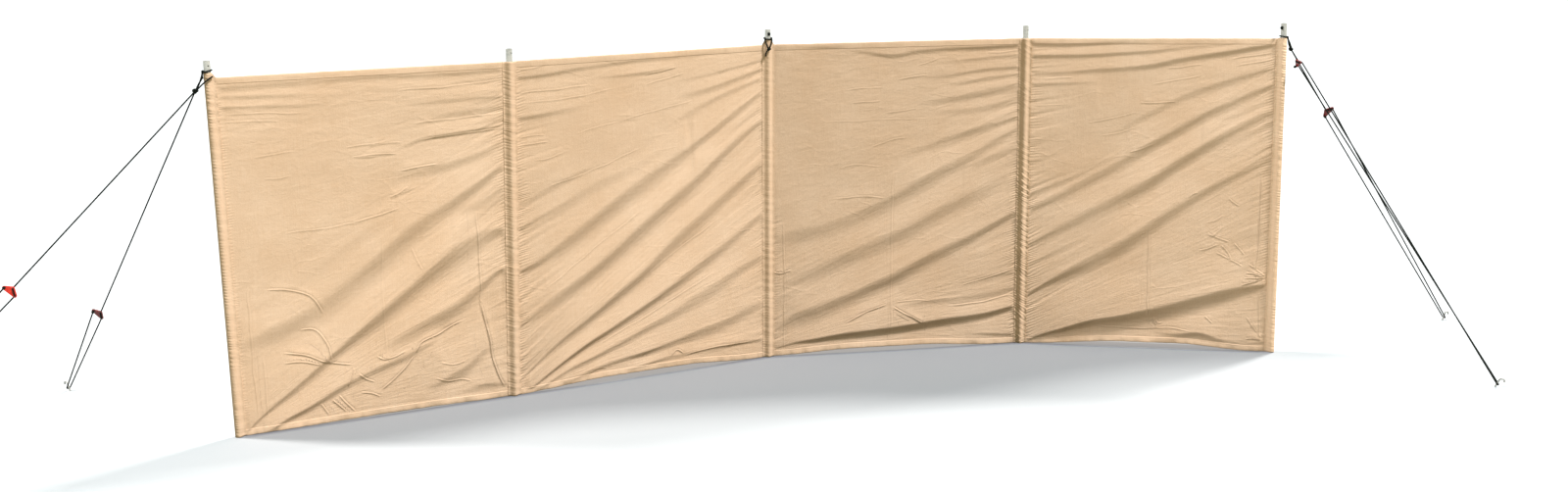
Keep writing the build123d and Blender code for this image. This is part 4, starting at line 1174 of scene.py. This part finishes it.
def make_left_tie():
    """Rope round the left end pole, with a small knot beside it and two strands to the guys' knot."""
    index = 0
    knot = RIGGED["left_front"].knot
    top = SLEEVE_TOPS[index] + BAND_RISE
    small = pole_side(index, top - .020, 200, .0178)
    lines = [
        strand((pole_side(index, top, 225, HUG), pole_side(index, top + .001, 205, HUG + .003), small,
                small.lerp(knot, .5) + Vector((0, -.0015, .001)), knot)),
        strand((pole_side(index, top, 110, HUG), pole_side(index, top - .002, 140, HUG + .004),
                small.lerp(knot, .45) + Vector((0, .005, -.001)), knot + Vector((0, .002, 0)))),
        # second turn, across the front of the sleeve's corner
        strand((pole_side(index, HEIGHT + .005, -28, .0175), pole_side(index, HEIGHT + .001, -62, .0185),
                pole_side(index, HEIGHT - .008, -105, .0185), pole_side(index, HEIGHT - .022, -150, .024),
                knot + Vector((.004, -.002, .002)))),
    ]
    band = sweep_rope("left_end_tip_band", [band_line(index, 0, .003)], closed=True)
    ties = sweep_rope("left_end_tip_strands", lines)
    knots = [
        sweep_rope("left_end_small_knot", [knot_line(small, Vector((0, 0, 1)), Vector((1, 0, 0)), .011,
                                                     points=54)], radius=.0021, around=10, closed=True),
        sweep_rope("left_end_guy_knot", [knot_line(knot, Vector((1, 0, .25)), Vector((0, 0, 1)), .0215)],
                   closed=True),
    ]
    return band, ties, knots


def make_right_tie():
    """Rope round the right end pole, with two strands down its outer side to the guys' knot."""
    index = len(POLES) - 1
    knot = RIGGED["right_back"].knot
    top = SLEEVE_TOPS[index] + BAND_RISE
    lines = [
        strand((pole_side(index, top, -70, HUG), pole_side(index, top - .001, -40, HUG + .002),
                pole_side(index, top - .014, -20, .0175), pole_side(index, top - .028, -14, .0205),
                knot + Vector((-.003, -.001, .002)))),
        strand((pole_side(index, top, 60, HUG), pole_side(index, top - .001, 25, HUG + .002),
                pole_side(index, top - .012, 5, .021), pole_side(index, top - .026, -4, .0265),
                knot + Vector((.003, .001, .002)))),
    ]
    band = sweep_rope("right_end_tip_band", [band_line(index, 180, .002)], closed=True)
    ties = sweep_rope("right_end_tip_strands", lines)
    knots = [sweep_rope("right_end_guy_knot", [knot_line(knot, Vector((.3, 0, 1)), Vector((1, 0, 0)), .0205)],
                        closed=True)]
    return band, ties, knots


def make_middle_tie():
    """Loop over the middle pole's tip, drawn down in a V to a knot on the sheltered side."""
    index = 2
    knot = node_centre("middle_knot")
    top = SLEEVE_TOPS[index] + BAND_RISE
    lines = []
    for side in (-1, 1):
        lines.append(strand((
            pole_side(index, top + .002, -90 + side * 95, HUG),
            pole_side(index, top, -90 + side * 60, HUG + .0015),
            pole_side(index, top - .012, -90 + side * 38, .0195),
            pole_side(index, top - .026, -90 + side * 18, .0205),
            knot + Vector((side * .002, 0, .002)))))
    tail = strand((knot, knot + Vector((-.007, -.003, -.006)), knot + Vector((-.012, -.001, -.016)),
                   knot + Vector((-.013, .001, -.027))))
    band = sweep_rope("middle_tip_band", [band_line(index, 90, .003)], closed=True)
    ties = sweep_rope("middle_tip_strands", lines + [tail])
    knots = [sweep_rope("middle_front_knot", [knot_line(knot, Vector((1, 0, 0)), Vector((0, 0, 1)), .0165,
                                                        flat=.65)], closed=True)]
    return band, ties, knots


def make_tip_stopper(name):
    """Rope's end pushed through the cross hole, held by a pulled-tight knot outside it."""
    node = name + "_tip_stopper"
    index = POLES.index(name)
    low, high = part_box(node)
    centre_z = (low.z + high.z) / 2
    axis = Vector(axis_at(index, centre_z))
    away = node_centre(node) - axis
    away.z = 0
    out = away.normalized()
    knot = axis + out * (POLE_RADIUS + ROPE_CLEARANCE + TIP_KNOT_STAND)
    line = knot_line(knot, Vector((0, 0, 1)), out, .0145, points=60, flat=.8)
    stub = [axis + out * (POLE_RADIUS - .003), axis + out * (POLE_RADIUS + .001), knot]
    tied = sweep_rope(name + "_tip_knot", [line], around=10, closed=True)
    return tied, sweep_rope(name + "_tip_rope", [stub])


# ============================================================ materials

def colour(code):
    """Linear colour of an sRGB hex code."""
    parts = [int(code[i:i + 2], 16) / 255 for i in (1, 3, 5)]
    return tuple(p / 12.92 if p <= 0.04045 else ((p + 0.055) / 1.055) ** 2.4 for p in parts) + (1.0,)


def add(tree, kind, inputs=None, **settings):
    """Adds a node to a tree; inputs gives its values and the sockets linked to it."""
    node = tree.nodes.new(kind)
    for key, value in settings.items():
        setattr(node, key, value)
    for key, value in (inputs or {}).items():
        if isinstance(value, bpy.types.NodeSocket):
            tree.links.new(value, node.inputs[key])
        else:
            node.inputs[key].default_value = value
    return node


def new_material(name):
    material = bpy.data.materials.new(name)
    material.use_nodes = True
    tree = material.node_tree
    tree.nodes.clear()
    return material, tree


def finish_material(tree, surface):
    add(tree, "ShaderNodeOutputMaterial", {"Surface": surface})


def maths(tree, operation, a, b=None, c=None):
    inputs = {0: a}
    if b is not None:
        inputs[1] = b
    if c is not None:
        inputs[2] = c
    return add(tree, "ShaderNodeMath", inputs, operation=operation).outputs[0]


def uv_place(tree, name):
    return add(tree, "ShaderNodeUVMap", uv_map=name).outputs["UV"]


def scaled(tree, place, scale):
    return add(tree, "ShaderNodeMapping", {"Vector": place, "Scale": scale}).outputs[0]


def noise(tree, place, scale, detail, **more):
    """Value of a noise texture; more can give its Roughness and its Distortion."""
    inputs = {"Vector": place, "Scale": scale, "Detail": detail}
    inputs.update(more)
    return add(tree, "ShaderNodeTexNoise", inputs).outputs["Fac"]


def bump(tree, height, strength, distance, normal=None):
    """Normal of a rough surface, laid over the one that is given."""
    inputs = {"Height": height, "Strength": strength, "Distance": distance}
    if normal is not None:
        inputs["Normal"] = normal
    return add(tree, "ShaderNodeBump", inputs).outputs[0]


def ramp(tree, value, *ends):
    """Colour between two ends, each a value and the colour there."""
    node = add(tree, "ShaderNodeValToRGB", {"Fac": value})
    for element, (position, shade) in zip(node.color_ramp.elements, ends):
        element.position = position
        element.color = shade
    return node.outputs["Color"]


def ridge(tree, distance, place, fall):
    """Sharp ridge along a line: 1 at this distance from it, falling away on both sides."""
    gap = maths(tree, "ABSOLUTE", maths(tree, "SUBTRACT", distance, place))
    return maths(tree, "EXPONENT", maths(tree, "MULTIPLY", gap, -fall))


# A crease as the material draws it: where its ridge and its hollow lie above its line, in metres,
# how fast each falls away, per metre, and how deep the hollow is beside the ridge.
CREASE_RIDGE = (0.0012, 380.0)
CREASE_HOLLOW = (0.0065, 300.0)
CREASE_HOLLOW_DEPTH = 0.7
WEAVE_PITCH = 0.0016          # the threads are 0.8 mm apart, drawn wider so that they show


def canvas_material(name, tone=1.0):
    """Plain-weave cotton canvas, dyed sand: matt, a little fuzzy, uneven where it has been folded."""
    material, tree = new_material(name)
    # tone scales the dye's colour; the lighter and darker copies made with it are painted light and shade
    pale = tuple(part * tone for part in colour("#E9CEB8")[:3]) + (1.0,)
    deep = tuple(part * tone for part in colour("#D9B89B")[:3]) + (1.0,)
    place = uv_place(tree, "cloth")
    solid = add(tree, "ShaderNodeTexCoord").outputs["Object"]
    # broad fading, about 250 mm across
    fading = noise(tree, solid, 4.0, 2.0)
    # slubs: thick threads that run level for 20 to 60 mm, and others that run upright
    level = noise(tree, scaled(tree, place, (18.0, 420.0, 1.0)), 1.0, 2.0)
    upright = noise(tree, scaled(tree, place, (420.0, 14.0, 1.0)), 1.0, 2.0)
    slubs = maths(tree, "MULTIPLY_ADD", level, 0.5, maths(tree, "MULTIPLY", upright, 0.5))
    shade = maths(tree, "MULTIPLY_ADD", slubs, 0.7, maths(tree, "MULTIPLY", fading, 0.5))
    dye = ramp(tree, shade, (0.38, deep), (0.82, pale))
    # plain weave
    split = add(tree, "ShaderNodeSeparateXYZ", {"Vector": place})
    weave_scale = 2 * math.pi / WEAVE_PITCH
    warp = maths(tree, "SINE", maths(tree, "MULTIPLY", split.outputs["X"], weave_scale))
    weft = maths(tree, "SINE", maths(tree, "MULTIPLY", split.outputs["Y"], weave_scale))
    normal = bump(tree, maths(tree, "MULTIPLY", warp, weft), 0.35, 0.0002)
    # short small folds along the lines of pull, about 15 mm apart
    pull = scaled(tree, uv_place(tree, "pull"), (13.0, 66.0, 1.0))
    streaks = noise(tree, pull, 1.0, 3.0, Roughness=0.55, Distortion=0.4)
    normal = bump(tree, streaks, 0.5, 0.0030, normal)
    # sharp marks of old folds, in a loose net that comes and goes
    warped = add(tree, "ShaderNodeTexNoise", {"Vector": place, "Scale": 9.0, "Detail": 3.0})
    bent = add(tree, "ShaderNodeVectorMath", {0: warped.outputs["Color"], 1: (0.05, 0.05, 0.0)},
               operation="MULTIPLY")
    net_place = add(tree, "ShaderNodeVectorMath", {0: place, 1: bent.outputs[0]}, operation="ADD")
    net = add(tree, "ShaderNodeTexVoronoi", {
        "Vector": scaled(tree, net_place.outputs[0], (7.0, 17.0, 1.0)), "Scale": 1.0},
        feature="DISTANCE_TO_EDGE")
    near_mark = add(tree, "ShaderNodeMapRange", {"Value": net.outputs["Distance"], "From Min": 0.0,
                                                 "From Max": 0.07, "To Min": 1.0, "To Max": 0.0})
    worn = add(tree, "ShaderNodeMapRange", {"Value": noise(tree, place, 5.5, 2.0), "From Min": 0.48,
                                            "From Max": 0.68, "To Min": 0.0, "To Max": 1.0})
    marks = maths(tree, "MULTIPLY", near_mark.outputs[0], worn.outputs[0])
    normal = bump(tree, marks, 0.35, 0.0011, normal)
    # creases: a sharp ridge with a hollow beside it, from the distance to the crease's line
    crease = add(tree, "ShaderNodeSeparateXYZ", {"Vector": uv_place(tree, "creases")})
    crest = ridge(tree, crease.outputs["X"], *CREASE_RIDGE)
    hollow = ridge(tree, crease.outputs["X"], *CREASE_HOLLOW)
    relief = maths(tree, "MULTIPLY_ADD", hollow, -CREASE_HOLLOW_DEPTH, crest)
    relief = maths(tree, "MULTIPLY", crease.outputs["Y"], relief)
    normal = bump(tree, relief, 1.0, 0.0009, normal)
    # ticks beside the seams: rounded, with a sharp valley at each stitch
    tick = add(tree, "ShaderNodeSeparateXYZ", {"Vector": uv_place(tree, "ticks")})
    phase = maths(tree, "MULTIPLY", tick.outputs["X"], math.pi)
    rounded = maths(tree, "ABSOLUTE", maths(tree, "SINE", phase))
    normal = bump(tree, maths(tree, "MULTIPLY", rounded, tick.outputs["Y"]), 1.0, 0.0011, normal)
    # a slightly crumpled surface, and its slubs
    crumple = noise(tree, place, 70.0, 3.0, Roughness=0.6, Distortion=0.8)
    normal = bump(tree, crumple, 0.5, 0.0012, normal)
    normal = bump(tree, slubs, 0.3, 0.0005, normal)
    surface = add(tree, "ShaderNodeBsdfPrincipled", {
        "Base Color": dye, "Roughness": 0.86, "IOR": 1.45, "Specular IOR Level": 0.25,
        "Sheen Weight": 0.12, "Sheen Roughness": 0.5, "Normal": normal})
    finish_material(tree, surface.outputs[0])
    return material


def rope_material():
    """Braided polyester cord, dyed dark green: a soft shine broken up by the diamond braid."""
    material, tree = new_material("braided polyester cord, dark green")
    split = add(tree, "ShaderNodeSeparateXYZ", {"Vector": uv_place(tree, "cloth")})
    # eight strands each way round, crossing every 4 mm along the cord
    around = maths(tree, "MULTIPLY", split.outputs["X"], 2 * math.pi * 4)
    along = maths(tree, "MULTIPLY", split.outputs["Y"], 2 * math.pi / 0.008)
    one = maths(tree, "ABSOLUTE", maths(tree, "SINE", maths(tree, "ADD", around, along)))
    other = maths(tree, "ABSOLUTE", maths(tree, "SINE", maths(tree, "SUBTRACT", around, along)))
    braid = maths(tree, "MULTIPLY", one, other)
    dye = ramp(tree, braid, (0.0, colour("#060A07")), (1.0, colour("#101812")))
    surface = add(tree, "ShaderNodeBsdfPrincipled", {
        "Base Color": dye, "Roughness": 0.75, "IOR": 1.5, "Specular IOR Level": 0.12,
        "Normal": bump(tree, braid, 0.35, 0.0005)})
    finish_material(tree, surface.outputs[0])
    return material


def zinc_material(name, base, dull, roughness):
    """Zinc-coated steel: pale grey, with soft crystal patches and a slightly rough shine."""
    material, tree = new_material(name)
    solid = add(tree, "ShaderNodeTexCoord").outputs["Object"]
    # spangle about 6 mm across
    spangle = add(tree, "ShaderNodeTexVoronoi", {"Vector": solid, "Scale": 160.0})
    cloud = noise(tree, solid, 30.0, 4.0)
    tone = maths(tree, "MULTIPLY_ADD", spangle.outputs["Distance"], 0.35, maths(
        tree, "MULTIPLY", cloud, 0.65))
    shade = ramp(tree, tone, (0.25, colour(dull)), (0.6, colour(base)))
    # drawn marks run along the tube
    marks = noise(tree, scaled(tree, solid, (900.0, 900.0, 12.0)), 1.0, 2.0)
    rough = add(tree, "ShaderNodeMapRange", {
        "Value": cloud, "To Min": roughness - 0.08, "To Max": roughness + 0.1})
    surface = add(tree, "ShaderNodeBsdfPrincipled", {
        "Base Color": shade, "Metallic": 0.25, "Roughness": rough.outputs[0],
        "Normal": bump(tree, marks, 0.25, 0.0002)})
    finish_material(tree, surface.outputs[0])
    return material


def runner_material(name, deep, bright):
    """Injection-moulded nylon: an even satin shine with a faint orange-peel."""
    material, tree = new_material(name)
    solid = add(tree, "ShaderNodeTexCoord").outputs["Object"]
    peel = noise(tree, solid, 900.0, 2.0)
    scuffs = noise(tree, solid, 140.0, 5.0)
    shade = ramp(tree, scuffs, (0.35, colour(deep)), (0.7, colour(bright)))
    rough = add(tree, "ShaderNodeMapRange", {"Value": scuffs, "To Min": 0.30, "To Max": 0.46})
    surface = add(tree, "ShaderNodeBsdfPrincipled", {
        "Base Color": shade, "Roughness": rough.outputs[0], "IOR": 1.53,
        "Subsurface Weight": 0.05, "Subsurface Scale": 0.002,
        "Normal": bump(tree, peel, 0.15, 0.0003)})
    finish_material(tree, surface.outputs[0])
    return material


def seen_directly(tree):
    """1 for what the camera sees, also in a reflection or through glass, and 0 for other light."""
    path = add(tree, "ShaderNodeLightPath")
    seen = maths(tree, "MAXIMUM", path.outputs["Is Camera Ray"], path.outputs["Is Glossy Ray"])
    return maths(tree, "MAXIMUM", seen, path.outputs["Is Transmission Ray"])


def floor_material():
    """Matt studio floor: pale to look at, duller in the light that it throws back, and with a painted
    shadow, darker in a soft strip under and just behind the cloth's lower edge."""
    material, tree = new_material("matt studio floor")
    solid = add(tree, "ShaderNodeTexCoord").outputs["Object"]
    place = add(tree, "ShaderNodeSeparateXYZ", {"Vector": solid})
    lines = []
    for a, b in zip(FEET, FEET[1:]):
        slope = (b.y - a.y) / (b.x - a.x)
        lines.append(maths(tree, "MULTIPLY_ADD", place.outputs["X"], slope, a.y - slope * a.x))
    # the left two bays bend one way, the others the other way
    foot_line = maths(tree, "MINIMUM", maths(tree, "MAXIMUM", lines[0], lines[1]), maths(
        tree, "MINIMUM", lines[2], lines[3]))
    behind = maths(tree, "SUBTRACT", place.outputs["Y"], foot_line)
    # shade is the strength of the painted shadow: 1 in the strip under the cloth's lower edge
    shade = 1.0
    # the painted shadow's strip fades in before the cloth, out behind it, and out at both end poles
    for value, start, full in ((behind, -.034, -.002), (behind, .13, .055),
                               (place.outputs["X"], FEET[0].x - .01, FEET[0].x + .05),
                               (place.outputs["X"], FEET[-1].x + .01, FEET[-1].x - .05)):
        part = add(tree, "ShaderNodeMapRange", {"Value": value, "From Min": start, "From Max": full})
        shade = maths(tree, "MULTIPLY", part.outputs[0], shade)
    # its pale blue evens out the warm tint of the floor's lamps; the darker second colour is the painted
    # shadow of the strip
    ground = add(tree, "ShaderNodeMixRGB", {"Fac": shade, "Color1": colour("#CBDAF3"),
                                            "Color2": colour("#686865")})
    matt = add(tree, "ShaderNodeBsdfDiffuse", {"Color": ground.outputs[0]})
    # a faint even light of its own, so that the shadow stays pale
    lift = add(tree, "ShaderNodeEmission", {"Color": colour("#767986"), "Strength": 1.0})
    seen = add(tree, "ShaderNodeAddShader", {0: matt.outputs[0], 1: lift.outputs[0]})
    thrown = add(tree, "ShaderNodeBsdfDiffuse", {"Color": colour("#868B86")})
    surface = add(tree, "ShaderNodeMixShader", {0: seen_directly(tree), 1: thrown.outputs[0],
                                                2: seen.outputs[0]})
    finish_material(tree, surface.outputs[0])
    return material


# ============================================================ stage, lights and camera

def make_stage():
    bpy.ops.object.select_all(action="DESELECT")
    bpy.ops.mesh.primitive_plane_add(size=120, location=(0, 0, 0))
    floor = bpy.context.object
    floor.name = "studio_floor"
    floor.data.materials.append(floor_material())
    return floor


def aim(thing, direction):
    thing.rotation_euler = Vector(direction).to_track_quat("-Z", "Y").to_euler()


def add_sun(name, bearing, elevation, strength, soft, tint):
    """Sun lamp that shines from a bearing, in degrees from +X, and an elevation."""
    lamp = bpy.data.lights.new(name, "SUN")
    lamp.energy = strength
    lamp.angle = math.radians(soft)
    lamp.color = colour(tint)[:3]
    thing = bpy.data.objects.new(name, lamp)
    bpy.context.scene.collection.objects.link(thing)
    high = math.radians(elevation)
    source = turned(bearing) * math.cos(high) + Vector((0, 0, math.sin(high)))
    aim(thing, -source)
    return thing


def lights_only(lamp, things, name):
    """Keeps a lamp to these things."""
    group = bpy.data.collections.new(name)
    for thing in things:
        group.objects.link(thing)
    lamp.light_linking.receiver_collection = group


# Each lamp: the bearing and the elevation that it shines from, its strength, its softness in
# degrees, its tint, and what it lights. The cloth and the floor have lamps of their own, so that
# the floor is white, with one grey shadow before the cloth.
LAMPS = {
    "key_light": (-40, 57, 4.75, 9, "#FFFAF2", "windbreak"),
    "left_fill": (-168, 30, 1.55, 40, "#FFFFFF", "windbreak without sleeves"),
    "back_fill": (95, 40, 0.9, 30, "#FFFFFF", "windbreak"),
    "floor_light_left": (156, 40.4, 3.5, 11.4, "#FFEED4", "floor"),
    "floor_light_right": (31, 48.4, 3.05, 11.4, "#FFEED4", "floor"),
}


def make_lights(floor, others):
    # the right end's sleeve, which faces away from the key light, keeps the left fill
    sleeves = [name + "_pocket" for name in POLES[:-1]]
    groups = {
        "windbreak": others,
        "windbreak without sleeves": [thing for thing in others if thing.name not in sleeves],
        "floor": [floor],
    }
    for name, (bearing, elevation, strength, soft, tint, group) in LAMPS.items():
        lamp = add_sun(name, bearing, elevation, strength, soft, tint)
        lights_only(lamp, groups[group], "lit_by_" + name)
    world = bpy.data.worlds.new("studio")
    bpy.context.scene.world = world
    world.use_nodes = True
    tree = world.node_tree
    tree.nodes.clear()
    ambient = add(tree, "ShaderNodeBackground", {"Color": colour("#F2F2CC"), "Strength": 0.44})
    white = add(tree, "ShaderNodeBackground", {"Color": colour("#FFFFFF"), "Strength": 1.0})
    mix = add(tree, "ShaderNodeMixShader", {0: seen_directly(tree), 1: ambient.outputs[0],
                                            2: white.outputs[0]})
    add(tree, "ShaderNodeOutputWorld", {"Surface": mix.outputs[0]})


# The camera: focal length and sensor in millimetres, place, and turns in degrees.
LENS = 37.44
SENSOR = 36.0
CAMERA_PLACE = (-1.31837, -5.90436, 1.80338)
YAW = 13.203
PITCH = 12.7326
ROLL = -0.5837


def make_camera():
    data = bpy.data.cameras.new("viewer")
    data.lens = LENS
    data.sensor_width = SENSOR
    data.clip_end = 300
    camera = bpy.data.objects.new("viewer", data)
    bpy.context.scene.collection.objects.link(camera)
    yaw, pitch, roll = math.radians(YAW), math.radians(PITCH), math.radians(ROLL)
    turn = (Matrix.Rotation(-yaw, 4, "Z") @ Matrix.Rotation(math.radians(90) - pitch, 4, "X")
            @ Matrix.Rotation(roll, 4, "Z"))
    camera.matrix_world = Matrix.Translation(CAMERA_PLACE) @ turn
    bpy.context.scene.camera = camera


# ============================================================ putting it together

def paint(thing, material):
    thing.data.materials.clear()
    thing.data.materials.append(material)


def dress(thing, material, slot, *replaced):
    """Gives a piece its material and body, and hides the CAD nodes that it stands for; slot is not used."""
    paint(thing, material)
    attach(thing, "root")
    if replaced:
        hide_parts(*replaced)
    return thing


make_camera()
canvas = canvas_material("cotton canvas, plain weave, sand")
# painted light: the right end's sleeve, which faces away from the key light, gets a paler copy of the canvas
# so that it looks lit
painted_light_canvas = canvas_material("cotton canvas, plain weave, painted lighter", 1.20)
# painted light and shade: each bay's cloth is a lighter or darker copy of the canvas, standing in for light
# that falls unevenly on the bays
bay_canvas_painted_light_shade = [canvas_material("cotton canvas, plain weave, sand, " + name, tone)
              for name, tone in zip(BAYS, (1.02, 0.98, 0.91, 1.0))]
rope = rope_material()
tube = zinc_material("zinc-coated steel tube", "#CBCCC9", "#A6A8A6", 0.42)
wire = zinc_material("zinc-coated steel wire", "#B9BBBB", "#85888A", 0.38)
red = runner_material("moulded nylon, signal red", "#C4200F", "#EE3A22")
# painted shade: a darker copy of the red nylon, for the runners that lie in shade
red_painted_shade = runner_material("moulded nylon, red, painted shade", "#5A0E0C", "#8A1814")

for name in POLES:
    paint(nodes[name + "_pole"], tube)
for name in GUYS:
    paint(nodes[name + "_peg"], wire)
    # the left front runner is lit; the other three get the red in painted shade
    paint(nodes[name + "_runner"], red if name == "left_front" else red_painted_shade)

for bay, name in enumerate(BAYS):
    # each bay's panel and hems take its copy of the canvas with painted light or shade
    panel = dress(make_panel(bay), bay_canvas_painted_light_shade[bay], "panel_canvas", name + "_panel")
    top = dress(make_hem(bay, True), bay_canvas_painted_light_shade[bay], "hem_canvas", name + "_top_hem")
    bottom = dress(make_hem(bay, False), bay_canvas_painted_light_shade[bay], "hem_canvas", name + "_bottom_hem")
    bay_width(bay)

for index, name in enumerate(POLES):
    # the right end's sleeve takes the canvas with painted light
    cloth = painted_light_canvas if name == "right_end" else canvas
    dress(make_sleeve(index), cloth, "sleeve_canvas", name + "_sleeve")

for name in GUYS:
    line, stopper = make_guy_rope(name)
    dress(line, rope, "guy_rope", name + "_guy_rope")
    dress(stopper, rope, "guy_rope")

for (band, strands, knots), tie, knot_node in (
        (make_left_tie(), "left_tip_tie", "left_guy_knot"),
        (make_right_tie(), "right_tip_tie", "right_guy_knot"),
        (make_middle_tie(), "middle_tip_tie", "middle_knot")):
    dress(band, rope, "guy_rope", tie)
    dress(strands, rope, "guy_rope")
    for knot in knots:
        dress(knot, rope, "guy_rope")
    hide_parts(knot_node)

for name in ("middle", "right_end"):
    knot, stub = make_tip_stopper(name)
    dress(knot, rope, "guy_rope", name + "_tip_stopper")
    dress(stub, rope, "guy_rope")

floor = make_stage()
lit = [thing for thing in bpy.context.scene.objects if thing.type == "MESH" and thing != floor]
make_lights(floor, lit)
bpy.context.scene.view_settings.view_transform = "Standard"
